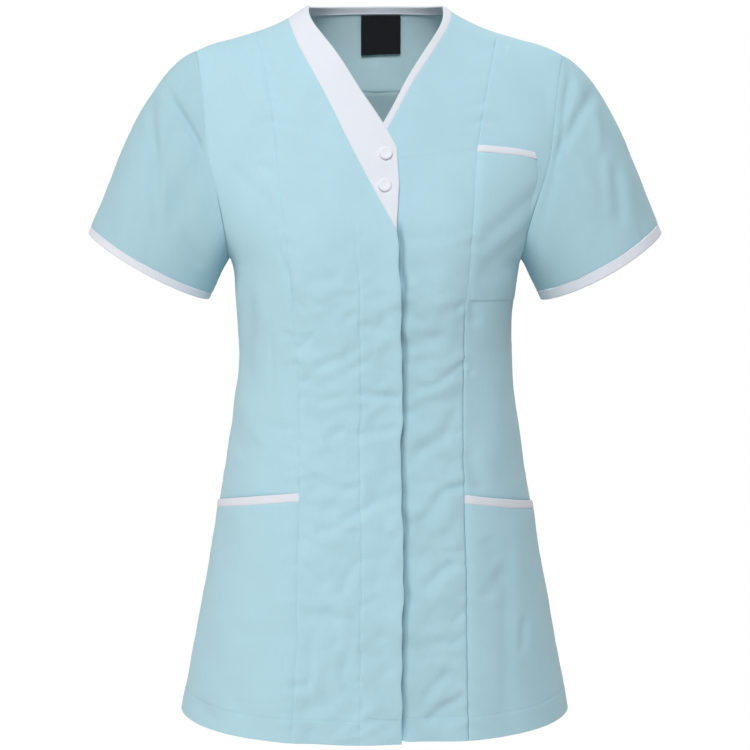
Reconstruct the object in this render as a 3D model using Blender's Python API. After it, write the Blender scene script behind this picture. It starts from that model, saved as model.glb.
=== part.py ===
"""Short-sleeved work tunic, worn form with nobody in it. Metres, +Z up.

+X is the wearer's left, the front faces -Y, and the origin is midway between the two side neck
points, on the shoulder line. Every panel is a thin wall cut from one torso form by its seams.
"""

from collections import namedtuple

import bpy
import numpy as np

# ---------------------------------------------------------------- driving sizes
WALL = 0.0018
TRIM_WALL = 0.0024
LABEL_WALL = 0.0010
SEAM_GAP = 0.0003
LAYER_GAP = 0.0004
BINDING_WIDTH = 0.0075
BINDING_SPREAD = 0.0018
CUFF_BINDING_WIDTH = 0.0065
TRIM_WIDTH = 0.0065
PLACKET_EXTRA = 0.0005
PLACKET_WIDTH = 0.041
PLACKET_STEP = 0.004

UNDERARM_Z = -0.248
HEM_FRONT_Z = -0.7105
HEM_SIDE_Z = -0.7045
HEM_SIDE_POWER = 6
UNDERLAP_RISE = 0.0022

ARMHOLE_ROWS = 12
SKIRT_ROWS = 18
BAND_TIP_ROW = 10
UNDERARM_SHARE = 0.325
NECK_END_ROW = 8
YOKE_ROW = 4
BACK_ROW_POWER = 0.79
BACK_NECK_Z = -0.0004
BACK_NECK_STEPS = 12
BACK_SHOULDER_STEPS = 5

# ---------------------------------------------------------------- tables of the cut
Section = namedtuple("Section", "z half_width front back squareness")
SECTIONS = [
    Section(z=0.060, half_width=0.200, front=0.076, back=0.090, squareness=2.3),
    Section(z=0.000, half_width=0.200, front=0.081, back=0.095, squareness=2.3),
    Section(z=-0.050, half_width=0.200, front=0.090, back=0.105, squareness=2.3),
    Section(z=-0.100, half_width=0.199, front=0.104, back=0.114, squareness=2.3),
    Section(z=-0.140, half_width=0.195, front=0.116, back=0.119, squareness=2.3),
    Section(z=-0.180, half_width=0.182, front=0.127, back=0.120, squareness=2.3),
    Section(z=-0.215, half_width=0.164, front=0.135, back=0.118, squareness=2.3),
    Section(z=-0.250, half_width=0.1435, front=0.138, back=0.114, squareness=2.3),
    Section(z=-0.290, half_width=0.1382, front=0.136, back=0.107, squareness=2.3),
    Section(z=-0.330, half_width=0.1357, front=0.130, back=0.099, squareness=2.3),
    Section(z=-0.360, half_width=0.1364, front=0.127, back=0.096, squareness=2.3),
    Section(z=-0.400, half_width=0.1412, front=0.126, back=0.099, squareness=2.3),
    Section(z=-0.440, half_width=0.1475, front=0.129, back=0.107, squareness=2.25),
    Section(z=-0.500, half_width=0.1570, front=0.136, back=0.121, squareness=2.2),
    Section(z=-0.560, half_width=0.1668, front=0.143, back=0.132, squareness=2.15),
    Section(z=-0.630, half_width=0.1802, front=0.149, back=0.138, squareness=2.1),
    Section(z=-0.715, half_width=0.1960, front=0.154, back=0.141, squareness=2.0),
]

ShoulderPoint = namedtuple("ShoulderPoint", "x z")
SHOULDER = [
    ShoulderPoint(x=0.000, z=0.0460),
    ShoulderPoint(x=0.035, z=0.0270),
    ShoulderPoint(x=0.066, z=0.0000),
    ShoulderPoint(x=0.079, z=-0.0085),
    ShoulderPoint(x=0.104, z=-0.0203),
    ShoulderPoint(x=0.139, z=-0.0320),
    ShoulderPoint(x=0.174, z=-0.0430),
    ShoulderPoint(x=0.188, z=-0.0505),
    ShoulderPoint(x=0.200, z=-0.0620),
]
SHOULDER_ROUND_FRONT = 0.080
SHOULDER_ROUND_BACK = 0.052

Bust = namedtuple("Bust", "x z width height fullness")
BUST = Bust(x=0.082, z=-0.235, width=0.050, height=0.065, fullness=0.009)

Seam = namedtuple("Seam", "z right left")
PRINCESS = [
    Seam(z=-0.030, right=0.1165, left=0.1195),
    Seam(z=-0.048, right=0.1105, left=0.1155),
    Seam(z=-0.070, right=0.1058, left=0.1108),
    Seam(z=-0.100, right=0.0998, left=0.1052),
    Seam(z=-0.150, right=0.0943, left=0.0975),
    Seam(z=-0.200, right=0.0888, left=0.0950),
    Seam(z=-0.250, right=0.0833, left=0.0915),
    Seam(z=-0.290, right=0.0798, left=0.0875),
    Seam(z=-0.340, right=0.0758, left=0.0868),
    Seam(z=-0.400, right=0.0736, left=0.0862),
    Seam(z=-0.470, right=0.0736, left=0.0872),
    Seam(z=-0.540, right=0.0755, left=0.0890),
    Seam(z=-0.620, right=0.0765, left=0.0900),
    Seam(z=-0.700, right=0.0812, left=0.0915),
]
ARMHOLE = [
    Seam(z=-0.044, right=0.1765, left=0.1865),
    Seam(z=-0.060, right=0.1725, left=0.1825),
    Seam(z=-0.085, right=0.1683, left=0.1783),
    Seam(z=-0.115, right=0.1660, left=0.1745),
    Seam(z=-0.145, right=0.1625, left=0.1710),
    Seam(z=-0.170, right=0.1560, left=0.1645),
    Seam(z=-0.200, right=0.1500, left=0.1545),
    Seam(z=-0.226, right=0.1460, left=0.1475),
    Seam(z=-0.248, right=0.1440, left=0.1440),
]

EdgePoint = namedtuple("EdgePoint", "x z")
BAND_OUTER = [
    EdgePoint(x=-0.0855, z=-0.0120),
    EdgePoint(x=-0.0729, z=-0.0407),
    EdgePoint(x=-0.0581, z=-0.0665),
    EdgePoint(x=-0.0434, z=-0.0931),
    EdgePoint(x=-0.0241, z=-0.1311),
    EdgePoint(x=-0.0029, z=-0.1707),
    EdgePoint(x=0.0208, z=-0.2125),
]
BAND_INNER = [
    EdgePoint(x=-0.0652, z=0.0016),
    EdgePoint(x=-0.0651, z=-0.0050),
    EdgePoint(x=-0.0637, z=-0.0095),
    EdgePoint(x=-0.0596, z=-0.0166),
    EdgePoint(x=-0.0508, z=-0.0275),
    EdgePoint(x=-0.0401, z=-0.0406),
    EdgePoint(x=-0.0145, z=-0.0788),
    EdgePoint(x=0.0087, z=-0.1130),
    EdgePoint(x=0.0212, z=-0.1348),
]
FRONT_EDGE = [
    EdgePoint(x=0.0212, z=-0.1348),
    EdgePoint(x=0.0230, z=-0.1755),
    EdgePoint(x=0.0212, z=-0.2125),
    EdgePoint(x=0.0225, z=-0.2350),
    EdgePoint(x=0.0249, z=-0.2800),
    EdgePoint(x=0.0250, z=-0.3290),
    EdgePoint(x=0.0268, z=-0.3780),
    EdgePoint(x=0.0251, z=-0.4150),
    EdgePoint(x=0.0261, z=-0.4935),
    EdgePoint(x=0.0275, z=-0.5320),
    EdgePoint(x=0.0261, z=-0.5900),
    EdgePoint(x=0.0262, z=-0.7100),
]
LEFT_NECKLINE = [
    EdgePoint(x=0.0664, z=0.0005),
    EdgePoint(x=0.0670, z=-0.0060),
    EdgePoint(x=0.0665, z=-0.0114),
    EdgePoint(x=0.0636, z=-0.0190),
    EdgePoint(x=0.0575, z=-0.0290),
    EdgePoint(x=0.0500, z=-0.0400),
    EdgePoint(x=0.0424, z=-0.0512),
    EdgePoint(x=0.0335, z=-0.0650),
    EdgePoint(x=0.0180, z=-0.0930),
    EdgePoint(x=0.0025, z=-0.1206),
    EdgePoint(x=-0.0110, z=-0.1480),
]
UNDERLAP_X = -0.0150
UNDERLAP_SLOPE_X = 0.045
UNDERLAP_SLOPE = 0.030
BAND_TIP_FADE = 0.020
BAND_TIP_WIDTH = 0.0012

Fold = namedtuple("Fold", "face x0 z0 x1 z1 height width")
FOLDS = [
    Fold(face="front", x0=-0.126, z0=-0.262, x1=-0.090, z1=-0.335, height=0.0015, width=0.013),
    Fold(face="front", x0=0.130, z0=-0.255, x1=0.098, z1=-0.330, height=0.0012, width=0.013),
    Fold(face="front", x0=-0.128, z0=-0.380, x1=-0.110, z1=-0.470, height=0.0018, width=0.015),
    Fold(face="front", x0=0.124, z0=-0.350, x1=0.112, z1=-0.450, height=0.0018, width=0.014),
    Fold(face="back", x0=-0.105, z0=-0.300, x1=-0.030, z1=-0.345, height=0.0022, width=0.015),
    Fold(face="back", x0=0.112, z0=-0.310, x1=0.040, z1=-0.352, height=0.0020, width=0.014),
    Fold(face="back", x0=-0.060, z0=-0.375, x1=0.045, z1=-0.388, height=0.0018, width=0.014),
    Fold(face="back", x0=-0.125, z0=-0.170, x1=-0.095, z1=-0.270, height=0.0025, width=0.016),
    Fold(face="back", x0=0.128, z0=-0.165, x1=0.100, z1=-0.275, height=0.0025, width=0.016),
]

Sleeve = namedtuple("Sleeve", "side top_x top_z low_x low_z half_depth droop head_x head_z")
SLEEVES = {
    "right": Sleeve(
        side=-1,
        top_x=0.2845,
        top_z=-0.2240,
        low_x=0.1655,
        low_z=-0.2900,
        half_depth=0.063,
        droop=0.0022,
        head_x=0.93,
        head_z=-0.37,
    ),
    "left": Sleeve(
        side=1,
        top_x=0.2845,
        top_z=-0.2240,
        low_x=0.1655,
        low_z=-0.2905,
        half_depth=0.063,
        droop=0.0048,
        head_x=0.89,
        head_z=-0.46,
    ),
}
SLEEVE_UNDER_WAY = (0.48, -0.88)
SLEEVE_END_WAY = (0.40, 0.0, -0.92)
SLEEVE_SPREAD = -0.16
SLEEVE_START_PULL = 0.26
SLEEVE_END_PULL = 0.30
SLEEVE_ROWS = 10
SLEEVE_STEPS = 40
SleeveFold = namedtuple("SleeveFold", "around start end height width")
SLEEVE_FOLDS = [
    SleeveFold(around=0.115, start=0.05, end=0.55, height=0.0020, width=0.030),
    SleeveFold(around=0.215, start=0.00, end=0.70, height=0.0028, width=0.028),
    SleeveFold(around=0.790, start=0.00, end=0.65, height=0.0028, width=0.028),
    SleeveFold(around=0.890, start=0.10, end=0.60, height=0.0018, width=0.030),
]

Pocket = namedtuple("Pocket", "inner_z outer_z bag")
LOWER_POCKETS = {
    "right": Pocket(inner_z=-0.4700, outer_z=-0.4915, bag=0.0034),
    "left": Pocket(inner_z=-0.4735, outer_z=-0.4950, bag=0.0034),
}
CHEST_TOP_INNER_Z = -0.1330
CHEST_TOP_OUTER_Z = -0.1415
CHEST_LOW_INNER_Z = -0.2830
CHEST_LOW_OUTER_Z = -0.2900
CHEST_BAG = 0.0008
CHEST_LAST_COLUMN = 7
CHEST_COLUMN_SPREAD = 0.06
ChestEdge = namedtuple("ChestEdge", "row share")
CHEST_EDGE = [
    ChestEdge(row=6.00, share=0.730),
    ChestEdge(row=6.40, share=0.740),
    ChestEdge(row=6.65, share=0.800),
    ChestEdge(row=7.05, share=0.860),
    ChestEdge(row=7.60, share=0.885),
    ChestEdge(row=9.00, share=0.895),
    ChestEdge(row=12.00, share=0.910),
    ChestEdge(row=14.00, share=0.955),
]
ROW_SPREAD = 0.05
POCKET_MOUTH_CURVE = 1.1
POCKET_MOUTH_REACH = 0.045
POCKET_EDGE_SHARE = 0.15

Stud = namedtuple("Stud", "name x z")
STUDS = [
    Stud(name="stud_upper", x=0.0106, z=-0.1405),
    Stud(name="stud_lower", x=0.0096, z=-0.1707),
]
STUD_RADIUS = 0.0066
STUD_HEIGHT = 0.0032
STUD_DISH = 0.0006
STUD_STEPS = 24
StudRing = namedtuple("StudRing", "radius height")
STUD_PROFILE = [
    StudRing(radius=0.86, height=0.00),
    StudRing(radius=0.98, height=0.18),
    StudRing(radius=1.00, height=0.45),
    StudRing(radius=0.94, height=0.78),
    StudRing(radius=0.84, height=0.94),
    StudRing(radius=0.72, height=1.00),
    StudRing(radius=0.60, height=0.96),
    StudRing(radius=0.30, height=1 - STUD_DISH / STUD_HEIGHT),
]

LABEL_RIGHT_X = -0.0145
LABEL_LEFT_X = 0.0262
LABEL_TOP_Z = -0.0095
LABEL_LOW_Z = -0.0488

Paint = namedtuple("Paint", "name colour roughness")
BLUE = Paint("blue_cloth", (0.474, 0.716, 0.800), 0.86)
WHITE = Paint("white_cloth", (0.800, 0.830, 0.880), 0.82)
STUD_WHITE = Paint("white_stud", (0.830, 0.855, 0.900), 0.35)
BLACK = Paint("black_label", (0.012, 0.012, 0.013), 0.75)


# ---------------------------------------------------------------- reading the tables
def curve(rows, key, column):
    """A smooth function through one named column of a table, along another."""
    rows = sorted(rows, key=lambda row: getattr(row, key))
    knots = np.array([getattr(row, key) for row in rows])
    values = np.array([getattr(row, column) for row in rows])
    slopes = np.gradient(values, knots)

    def read(where):
        where = np.clip(where, knots[0], knots[-1])
        i = np.clip(np.searchsorted(knots, where) - 1, 0, len(knots) - 2)
        span = knots[i + 1] - knots[i]
        t = (where - knots[i]) / span
        start = (1 + 2 * t) * (1 - t) ** 2 * values[i] + t * (1 - t) ** 2 * span * slopes[i]
        end = t * t * (3 - 2 * t) * values[i + 1] - t * t * (1 - t) * span * slopes[i + 1]
        return start + end

    return read


half_width = curve(SECTIONS, "z", "half_width")
front_depth = curve(SECTIONS, "z", "front")
back_depth = curve(SECTIONS, "z", "back")
squareness = curve(SECTIONS, "z", "squareness")
shoulder_z = curve(SHOULDER, "x", "z")
band_outer_x = curve(BAND_OUTER, "z", "x")
band_inner_x = curve(BAND_INNER, "z", "x")
front_edge_x = curve(FRONT_EDGE, "z", "x")
left_neckline_x = curve(LEFT_NECKLINE, "z", "x")
princess_x = {side: curve(PRINCESS, "z", side) for side in ("right", "left")}
armhole_x = {side: curve(ARMHOLE, "z", side) for side in ("right", "left")}
chest_edge = curve(CHEST_EDGE, "row", "share")
SIGN = {"right": -1.0, "left": 1.0}


def ease(t):
    """0 to 1 with soft ends."""
    t = np.clip(t, 0, 1)
    return t * t * (3 - 2 * t)


def unit(vectors):
    return vectors / np.maximum(np.linalg.norm(vectors, axis=-1, keepdims=True), 1e-12)


# ---------------------------------------------------------------- the torso form
def reach(face, x, z):
    """How far the form stands out from the shoulder plane on the middle line."""
    if face == "back":
        return back_depth(z)
    across = (np.abs(x) - BUST.x) / BUST.width
    down = (z - BUST.z) / BUST.height
    return front_depth(z) + BUST.fullness * np.exp(-(across**2) - down**2)


def shoulder_share(face, x, z):
    """0 on the shoulder line, rising towards 1 below it."""
    rounding = SHOULDER_ROUND_FRONT if face == "front" else SHOULDER_ROUND_BACK
    drop = shoulder_z(np.abs(x)) - z
    return drop / (np.maximum(drop, -0.5 * rounding) + rounding)


def side_share(x, z):
    """1 on the middle line, falling to 0 at the side."""
    n = squareness(z)
    ratio = np.minimum(np.abs(x) / half_width(z), 1)
    return np.maximum(1 - ratio**n, 0) ** (2 / n)


def form_gap(face, x, y, z):
    """Zero on the form, positive outside it."""
    return (y / reach(face, x, z)) ** 2 - shoulder_share(face, x, z) * side_share(x, z)


def form_y(face, x, z):
    share = np.maximum(shoulder_share(face, x, z) * side_share(x, z), 0)
    sign = -1 if face == "front" else 1
    return sign * reach(face, x, z) * np.sqrt(share)


def form_normal(face, x, y, z):
    step = 2e-5
    gradient = [
        form_gap(face, x + step, y, z) - form_gap(face, x - step, y, z),
        form_gap(face, x, y + step, z) - form_gap(face, x, y - step, z),
        form_gap(face, x, y, z + step) - form_gap(face, x, y, z - step),
    ]
    return unit(np.stack(gradient, axis=-1))


def fold_height(face, x, z):
    """The largest soft folds: ridges that fade towards both ends."""
    total = np.zeros_like(x)
    for fold in FOLDS:
        if fold.face != face:
            continue
        run_x, run_z = fold.x1 - fold.x0, fold.z1 - fold.z0
        length = np.hypot(run_x, run_z)
        along = ((x - fold.x0) * run_x + (z - fold.z0) * run_z) / length**2
        aside = ((x - fold.x0) * run_z - (z - fold.z0) * run_x) / length
        ends = ease(along * 3 + 0.5) * ease((1 - along) * 3 + 0.5)
        total += fold.height * ends * np.exp(-((aside / fold.width) ** 2))
    return total


def across_of(x, z):
    """The angle round the form at which it is x wide of the middle."""
    return np.arcsin(np.clip(x / half_width(z), -1, 1))


def form_points(face, across, z):
    """Points on the form and the directions that face out of it."""
    x = half_width(z) * np.sin(across)
    y = form_y(face, x, z)
    normals = form_normal(face, x, y, z)
    points = np.stack([x, y, z], axis=-1)
    return points + normals * fold_height(face, x, z)[..., None], normals


def shoulder_x(z):
    """How wide of the middle the shoulder line is at one height."""
    xs = np.linspace(0, 0.19, 400)
    return float(np.interp(-z, -shoulder_z(xs), xs))


def hem_z(across):
    return HEM_FRONT_Z + (HEM_SIDE_Z - HEM_FRONT_Z) * np.abs(np.sin(across)) ** HEM_SIDE_POWER


# ---------------------------------------------------------------- seams, row by row
ROWS = ARMHOLE_ROWS + SKIRT_ROWS


def armhole_steps():
    """0 at the shoulder tip, 1 at the underarm, closer together at both."""
    return (1 - np.cos(np.linspace(0, np.pi, ARMHOLE_ROWS + 1))) / 2


def skirt_steps():
    return np.linspace(0, 1, SKIRT_ROWS + 1)[1:]


def shoulder_meeting(x_of, start):
    """The height at which a seam meets the shoulder line, found by halving."""
    low, high = start - 0.05, start + 0.05
    for _ in range(40):
        middle = (low + high) / 2
        if shoulder_z(abs(x_of(middle))) > middle:
            low = middle
        else:
            high = middle
    return low


def outer_seam(side):
    """Armhole, then side seam: x and z of each row."""
    tip = shoulder_meeting(armhole_x[side], -0.045)
    arm_z = tip + (UNDERARM_Z - tip) * armhole_steps()
    skirt_z = UNDERARM_Z + (HEM_SIDE_Z - UNDERARM_Z) * skirt_steps()
    arm_x = np.minimum(armhole_x[side](arm_z), half_width(arm_z))
    arm_x[-1] = half_width(UNDERARM_Z)
    z = np.concatenate([arm_z, skirt_z])
    x = np.concatenate([arm_x, half_width(skirt_z)])
    return SIGN[side] * x, z


def row_steps():
    """How far down each row lies, 0 to 1: finer next to the shoulder, level with the underarm."""
    t = np.linspace(0, 1, ARMHOLE_ROWS + 1)
    upper = UNDERARM_SHARE * t * (t + 0.35) / 1.35
    return np.concatenate([upper, UNDERARM_SHARE + (1 - UNDERARM_SHARE) * skirt_steps()])


def princess_seam(side):
    top = shoulder_meeting(princess_x[side], -0.030)
    low = hem_z(across_of(princess_x[side](HEM_FRONT_Z), HEM_FRONT_Z))
    z = top + (low - top) * row_steps()
    return SIGN[side] * princess_x[side](z), z


def edge_rows(x_of, top, corner, corner_row, lower_x):
    """An edge that follows one curve down to a corner row, and another below it."""
    steps = row_steps()
    upper = steps[: corner_row + 1] / steps[corner_row]
    lower = (steps[corner_row + 1 :] - steps[corner_row]) / (1 - steps[corner_row])
    z_upper = top + (corner - top) * upper
    z_lower = corner + (HEM_FRONT_Z - corner) * lower
    x = np.concatenate([x_of(z_upper), lower_x(z_lower)])
    return x, np.concatenate([z_upper, z_lower])


def band_seam():
    """The wearer's right centre front: the band's outer edge, then the front edge."""
    top = shoulder_meeting(band_outer_x, -0.020)
    return edge_rows(band_outer_x, top, BAND_OUTER[-1].z, BAND_TIP_ROW, front_edge_x)


def left_neck_seam():
    """The wearer's left centre front: the binding's outer edge, then the underlap."""

    def bound_x(z):
        spread = BINDING_SPREAD * np.exp(-(((z + 0.044) / 0.026) ** 2))
        return left_neckline_x(z) + BINDING_WIDTH + spread

    def underlap_x(z):
        return np.full_like(z, UNDERLAP_X)

    top = shoulder_meeting(bound_x, -0.004)
    return edge_rows(bound_x, top, LEFT_NECKLINE[-1].z, NECK_END_ROW, underlap_x)


# ---------------------------------------------------------------- patches of the form
def shoulder_top(x0, x1, us):
    x = x0 + (x1 - x0) * us
    z = shoulder_z(np.abs(x))
    return across_of(x, z), z


def patch(inner, outer, us, top=None, low=None):
    """Angles and heights between two seams, with a given top and lower edge."""
    inner_a, outer_a = across_of(*inner), across_of(*outer)
    grids = []
    for left, right, top_line, low_line in (
        (inner_a, outer_a, top and top[0], low and low[0]),
        (inner[1], outer[1], top and top[1], low and low[1]),
    ):
        grid = left[:, None] * (1 - us) + right[:, None] * us
        v = np.linspace(0, 1, len(left))[:, None]
        if top_line is not None:
            grid = grid + (top_line - grid[0]) * (1 - v) ** 6
        if low_line is not None:
            grid = grid + (low_line - grid[-1]) * v**3
        grids.append(grid)
    return grids


def hem_line(across_inner, across_outer, us):
    across = across_inner * (1 - us) + across_outer * us
    return across, hem_z(across)


def pull_in(grid, top=0.5, low=0.5, left=0.5, right=0.5):
    """Moves each edge of a grid of points back from its seam by a share of the gap."""
    grid = grid.copy()
    grid[0] += unit(grid[1] - grid[0]) * SEAM_GAP * top
    grid[-1] += unit(grid[-2] - grid[-1]) * SEAM_GAP * low
    grid[:, 0] += unit(grid[:, 1] - grid[:, 0]) * SEAM_GAP * left
    grid[:, -1] += unit(grid[:, -2] - grid[:, -1]) * SEAM_GAP * right
    return grid


# ---------------------------------------------------------------- solids
def material(paint):
    made = bpy.data.materials.get(paint.name)
    if made is None:
        made = bpy.data.materials.new(paint.name)
        made.use_nodes = True
        shader = made.node_tree.nodes["Principled BSDF"]
        shader.inputs["Base Color"].default_value = (*paint.colour, 1)
        shader.inputs["Roughness"].default_value = paint.roughness
        shader.inputs["Metallic"].default_value = 0.0
    return made


def add_solid(name, points, faces, paint):
    mesh = bpy.data.meshes.new(name)
    mesh.from_pydata([tuple(point) for point in points], [], faces)
    mesh.validate()
    mesh.materials.append(material(paint))
    mesh.shade_smooth()
    mesh.set_sharp_from_angle(angle=np.radians(50))
    solid = bpy.data.objects.new(name, mesh)
    bpy.context.scene.collection.objects.link(solid)
    return solid


def turned(face):
    """The same face seen from behind, still starting at its first corner."""
    return face[:1] + face[:0:-1]


def add_wall(name, outer, inner, paint, flip=False):
    """A closed wall between two equal grids of points."""
    rows, cols = outer.shape[:2]
    points = np.concatenate([outer.reshape(-1, 3), inner.reshape(-1, 3)])
    half = rows * cols

    def at(row, col, layer):
        return layer * half + row * cols + col

    faces = []
    for row in range(rows - 1):
        for col in range(cols - 1):
            quad = [(row, col), (row, col + 1), (row + 1, col + 1), (row + 1, col)]
            faces.append([at(r, c, 0) for r, c in quad])
            faces.append(turned([at(r, c, 1) for r, c in quad]))
    rim = [(0, col) for col in range(cols)]
    rim += [(row, cols - 1) for row in range(1, rows)]
    rim += [(rows - 1, col) for col in range(cols - 2, -1, -1)]
    rim += [(row, 0) for row in range(rows - 2, 0, -1)]
    for here, there in zip(rim, rim[1:] + rim[:1]):
        faces.append([at(*there, 0), at(*here, 0), at(*here, 1), at(*there, 1)])
    if flip:
        faces = [turned(face) for face in faces]
    return add_solid(name, points, faces, paint)


def add_tube(name, outer, inner, paint, flip=False):
    """A wall that closes on itself: each row of the grids is a ring."""
    rows, cols = outer.shape[:2]
    points = np.concatenate([outer.reshape(-1, 3), inner.reshape(-1, 3)])
    half = rows * cols

    def at(row, col, layer):
        return layer * half + row * cols + col % cols

    faces = []
    for col in range(cols):
        for row in range(rows - 1):
            quad = [(row, col), (row, col + 1), (row + 1, col + 1), (row + 1, col)]
            faces.append([at(r, c, 0) for r, c in quad])
            faces.append(turned([at(r, c, 1) for r, c in quad]))
        faces.append([at(0, col + 1, 0), at(0, col, 0), at(0, col, 1), at(0, col + 1, 1)])
        last = rows - 1
        faces.append([at(last, col, 0), at(last, col + 1, 0), at(last, col + 1, 1), at(last, col, 1)])
    if flip:
        faces = [turned(face) for face in faces]
    return add_solid(name, points, faces, paint)


# ---------------------------------------------------------------- sleeves
def armhole_ring(side):
    """Points round the armhole, shoulder tip, front, underarm, back, with the form's directions."""
    x, z = outer_seam(side)
    x, z = x[: ARMHOLE_ROWS + 1], z[: ARMHOLE_ROWS + 1]
    across = across_of(x, z)
    across[-1] = SIGN[side] * np.pi / 2
    front, front_out = form_points("front", across, z)
    back, back_out = form_points("back", across, z)
    ring = np.concatenate([front, back[-2:0:-1]])
    out = np.concatenate([front_out, back_out[-2:0:-1]])
    return ring, out


def sleeve_fold(around, along):
    total = np.zeros_like(around * along)
    for fold in SLEEVE_FOLDS:
        ends = ease((along - fold.start) * 6) * ease((fold.end - along) * 3 + 0.3)
        total += fold.height * ends * np.exp(-(((around - fold.around) / fold.width) ** 2))
    return total


def sleeve_grid(side):
    """Rings from the armhole to the sleeve's hem, each point on a smooth run of cloth."""
    sleeve = SLEEVES[side]
    ring, ring_out = armhole_ring(side)
    turn = np.linspace(0, 2 * np.pi, len(ring), endpoint=False)[:, None]
    mirror = np.array([sleeve.side, 1, 1])
    centre = np.array([(sleeve.top_x + sleeve.low_x) / 2, 0, (sleeve.top_z + sleeve.low_z) / 2])
    to_top = np.array([sleeve.top_x, 0, sleeve.top_z]) - centre
    to_front = np.array([0, -sleeve.half_depth, 0])
    down = np.array(SLEEVE_END_WAY) * sleeve.droop * np.sin(turn) ** 2
    cuff = (centre + np.cos(turn) * to_top + np.sin(turn) * to_front + down) * mirror
    under = (1 - np.cos(turn)) / 2
    start_x = sleeve.head_x + (SLEEVE_UNDER_WAY[0] - sleeve.head_x) * under
    start_z = sleeve.head_z + (SLEEVE_UNDER_WAY[1] - sleeve.head_z) * under
    start_way = unit(np.concatenate([start_x, SLEEVE_SPREAD * np.sin(turn), start_z], axis=1) * mirror)
    end_way = unit(np.array(SLEEVE_END_WAY) * mirror)
    run = np.linalg.norm(cuff - ring, axis=1, keepdims=True)
    first = ring + start_way * run * SLEEVE_START_PULL
    last = cuff - end_way * run * SLEEVE_END_PULL
    t = np.linspace(0, 1, SLEEVE_STEPS + 1)[:, None, None]
    grid = (1 - t) ** 3 * ring + 3 * (1 - t) ** 2 * t * first
    grid = grid + 3 * (1 - t) * t**2 * last + t**3 * cuff
    out = grid_normals(grid, sleeve.side)
    around = turn[:, 0] / (2 * np.pi)
    grid = grid + out * sleeve_fold(around[None, :], t[:, :, 0])[..., None]
    return grid, out, ring_out


def grid_normals(grid, side):
    """Directions out of a tube whose rings run front way round."""
    around = np.roll(grid, -1, axis=1) - np.roll(grid, 1, axis=1)
    along = np.gradient(grid, axis=0)
    return unit(np.cross(around, along)) * side


def seam_directions(own, other):
    """Own direction, turned to the shared mitre where the two pieces meet at a bulging corner."""
    share = np.clip(np.sum(own * other, axis=-1, keepdims=True), 0, 1)
    return unit(own + other * share)


def along_cloth(grid, out, start, end, rows):
    """Rings between two distances: from the armhole, and back from the hem of the sleeve."""
    steps = np.linalg.norm(np.diff(grid, axis=0), axis=2)
    length = np.concatenate([np.zeros((1, grid.shape[1])), np.cumsum(steps, axis=0)])
    points = np.empty((rows, grid.shape[1], 3))
    facing = np.empty_like(points)
    for col in range(grid.shape[1]):
        total = length[-1, col]
        low = start if start >= 0 else total + start
        wanted = np.linspace(low, total - end, rows)
        for axis in range(3):
            points[:, col, axis] = np.interp(wanted, length[:, col], grid[:, col, axis])
            facing[:, col, axis] = np.interp(wanted, length[:, col], out[:, col, axis])
    return points, unit(facing)


def build_sleeve(side):
    grid, out, ring_out = sleeve_grid(side)
    flip = side == "right"
    away = unit(grid[1] - grid[0])
    ring_run = np.roll(grid[0], -1, 0) - np.roll(grid[0], 1, 0)
    torso_way = unit(np.cross(ring_run, ring_out)) * SIGN[side]
    gap = unit(away - torso_way) * SEAM_GAP
    points, facing = along_cloth(grid, out, 0, CUFF_BINDING_WIDTH, SLEEVE_ROWS + 1)
    points[0] += gap
    facing[0] = seam_directions(facing[0], ring_out)
    add_tube(f"sleeve_{side}", points, points - facing * WALL, BLUE, flip)
    proud = (TRIM_WALL - WALL) / 2
    points, facing = along_cloth(grid, out, SEAM_GAP - CUFF_BINDING_WIDTH, 0, 3)
    binding = f"sleeve_binding_{side}"
    add_tube(binding, points + facing * proud, points - facing * (WALL + proud), WHITE, flip)


# ---------------------------------------------------------------- front panels
CENTRE_RIGHT_COLUMNS = np.array([0, 0.12, 0.28, 0.40, 0.46, 0.64, 0.82, 1])
CENTRE_LEFT_COLUMNS = np.array([0, 0.12, 0.24, 0.34, 0.42, 0.50, 0.60, 0.72, 0.86, 1])
SIDE_COLUMNS = np.array([0, 0.14, 0.28, 0.42, 0.56, 0.70, 0.82, 0.92, 1])


def torso_wall(name, face, grids, lift, thick, paint, flip, edges, arm_side=None):
    """One panel of the torso: outer points on the form, inner points a wall inside."""
    points, out = form_points(face, *grids)
    if arm_side:
        out = out.copy()
        _, sleeve_out, ring_out = sleeve_grid(arm_side)
        mitred = seam_directions(ring_out, sleeve_out[0])
        rows = np.arange(ARMHOLE_ROWS + 1)
        order = rows if face == "front" else -rows
        out[rows, -1] = mitred[order]
    base = pull_in(points, *edges)
    add_wall(name, base + out * lift, base + out * (lift - thick), paint, flip)


def placket_lift(x, z):
    """The doubled cloth of the fly front stands slightly proud, below the band's point."""
    inside = ease((PLACKET_WIDTH - (front_edge_x(z) - x)) / PLACKET_STEP + 0.5)
    below_tip = ease((BAND_OUTER[-1].z - z) / BAND_TIP_FADE + 0.5)
    return PLACKET_EXTRA * inside * below_tip


def centre_grids(inner, outer, us):
    """Angles and heights of a centre front, from its shoulder line to its hem."""
    top = shoulder_top(inner[0][0], outer[0][0], us)
    low_inner = across_of(inner[0][-1], HEM_FRONT_Z)
    low_outer = across_of(outer[0][-1], HEM_FRONT_Z)
    return patch(inner, outer, us, top, hem_line(low_inner, low_outer, us))


def build_front_centre_right():
    grids = centre_grids(band_seam(), princess_seam("right"), CENTRE_RIGHT_COLUMNS)
    x = half_width(grids[1]) * np.sin(grids[0])
    lift = placket_lift(x, grids[1])[..., None]
    edges = (0.5, 0, 0.5, 0.5)
    torso_wall("front_centre_right", "front", grids, lift, WALL + lift, BLUE, False, edges)


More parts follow.
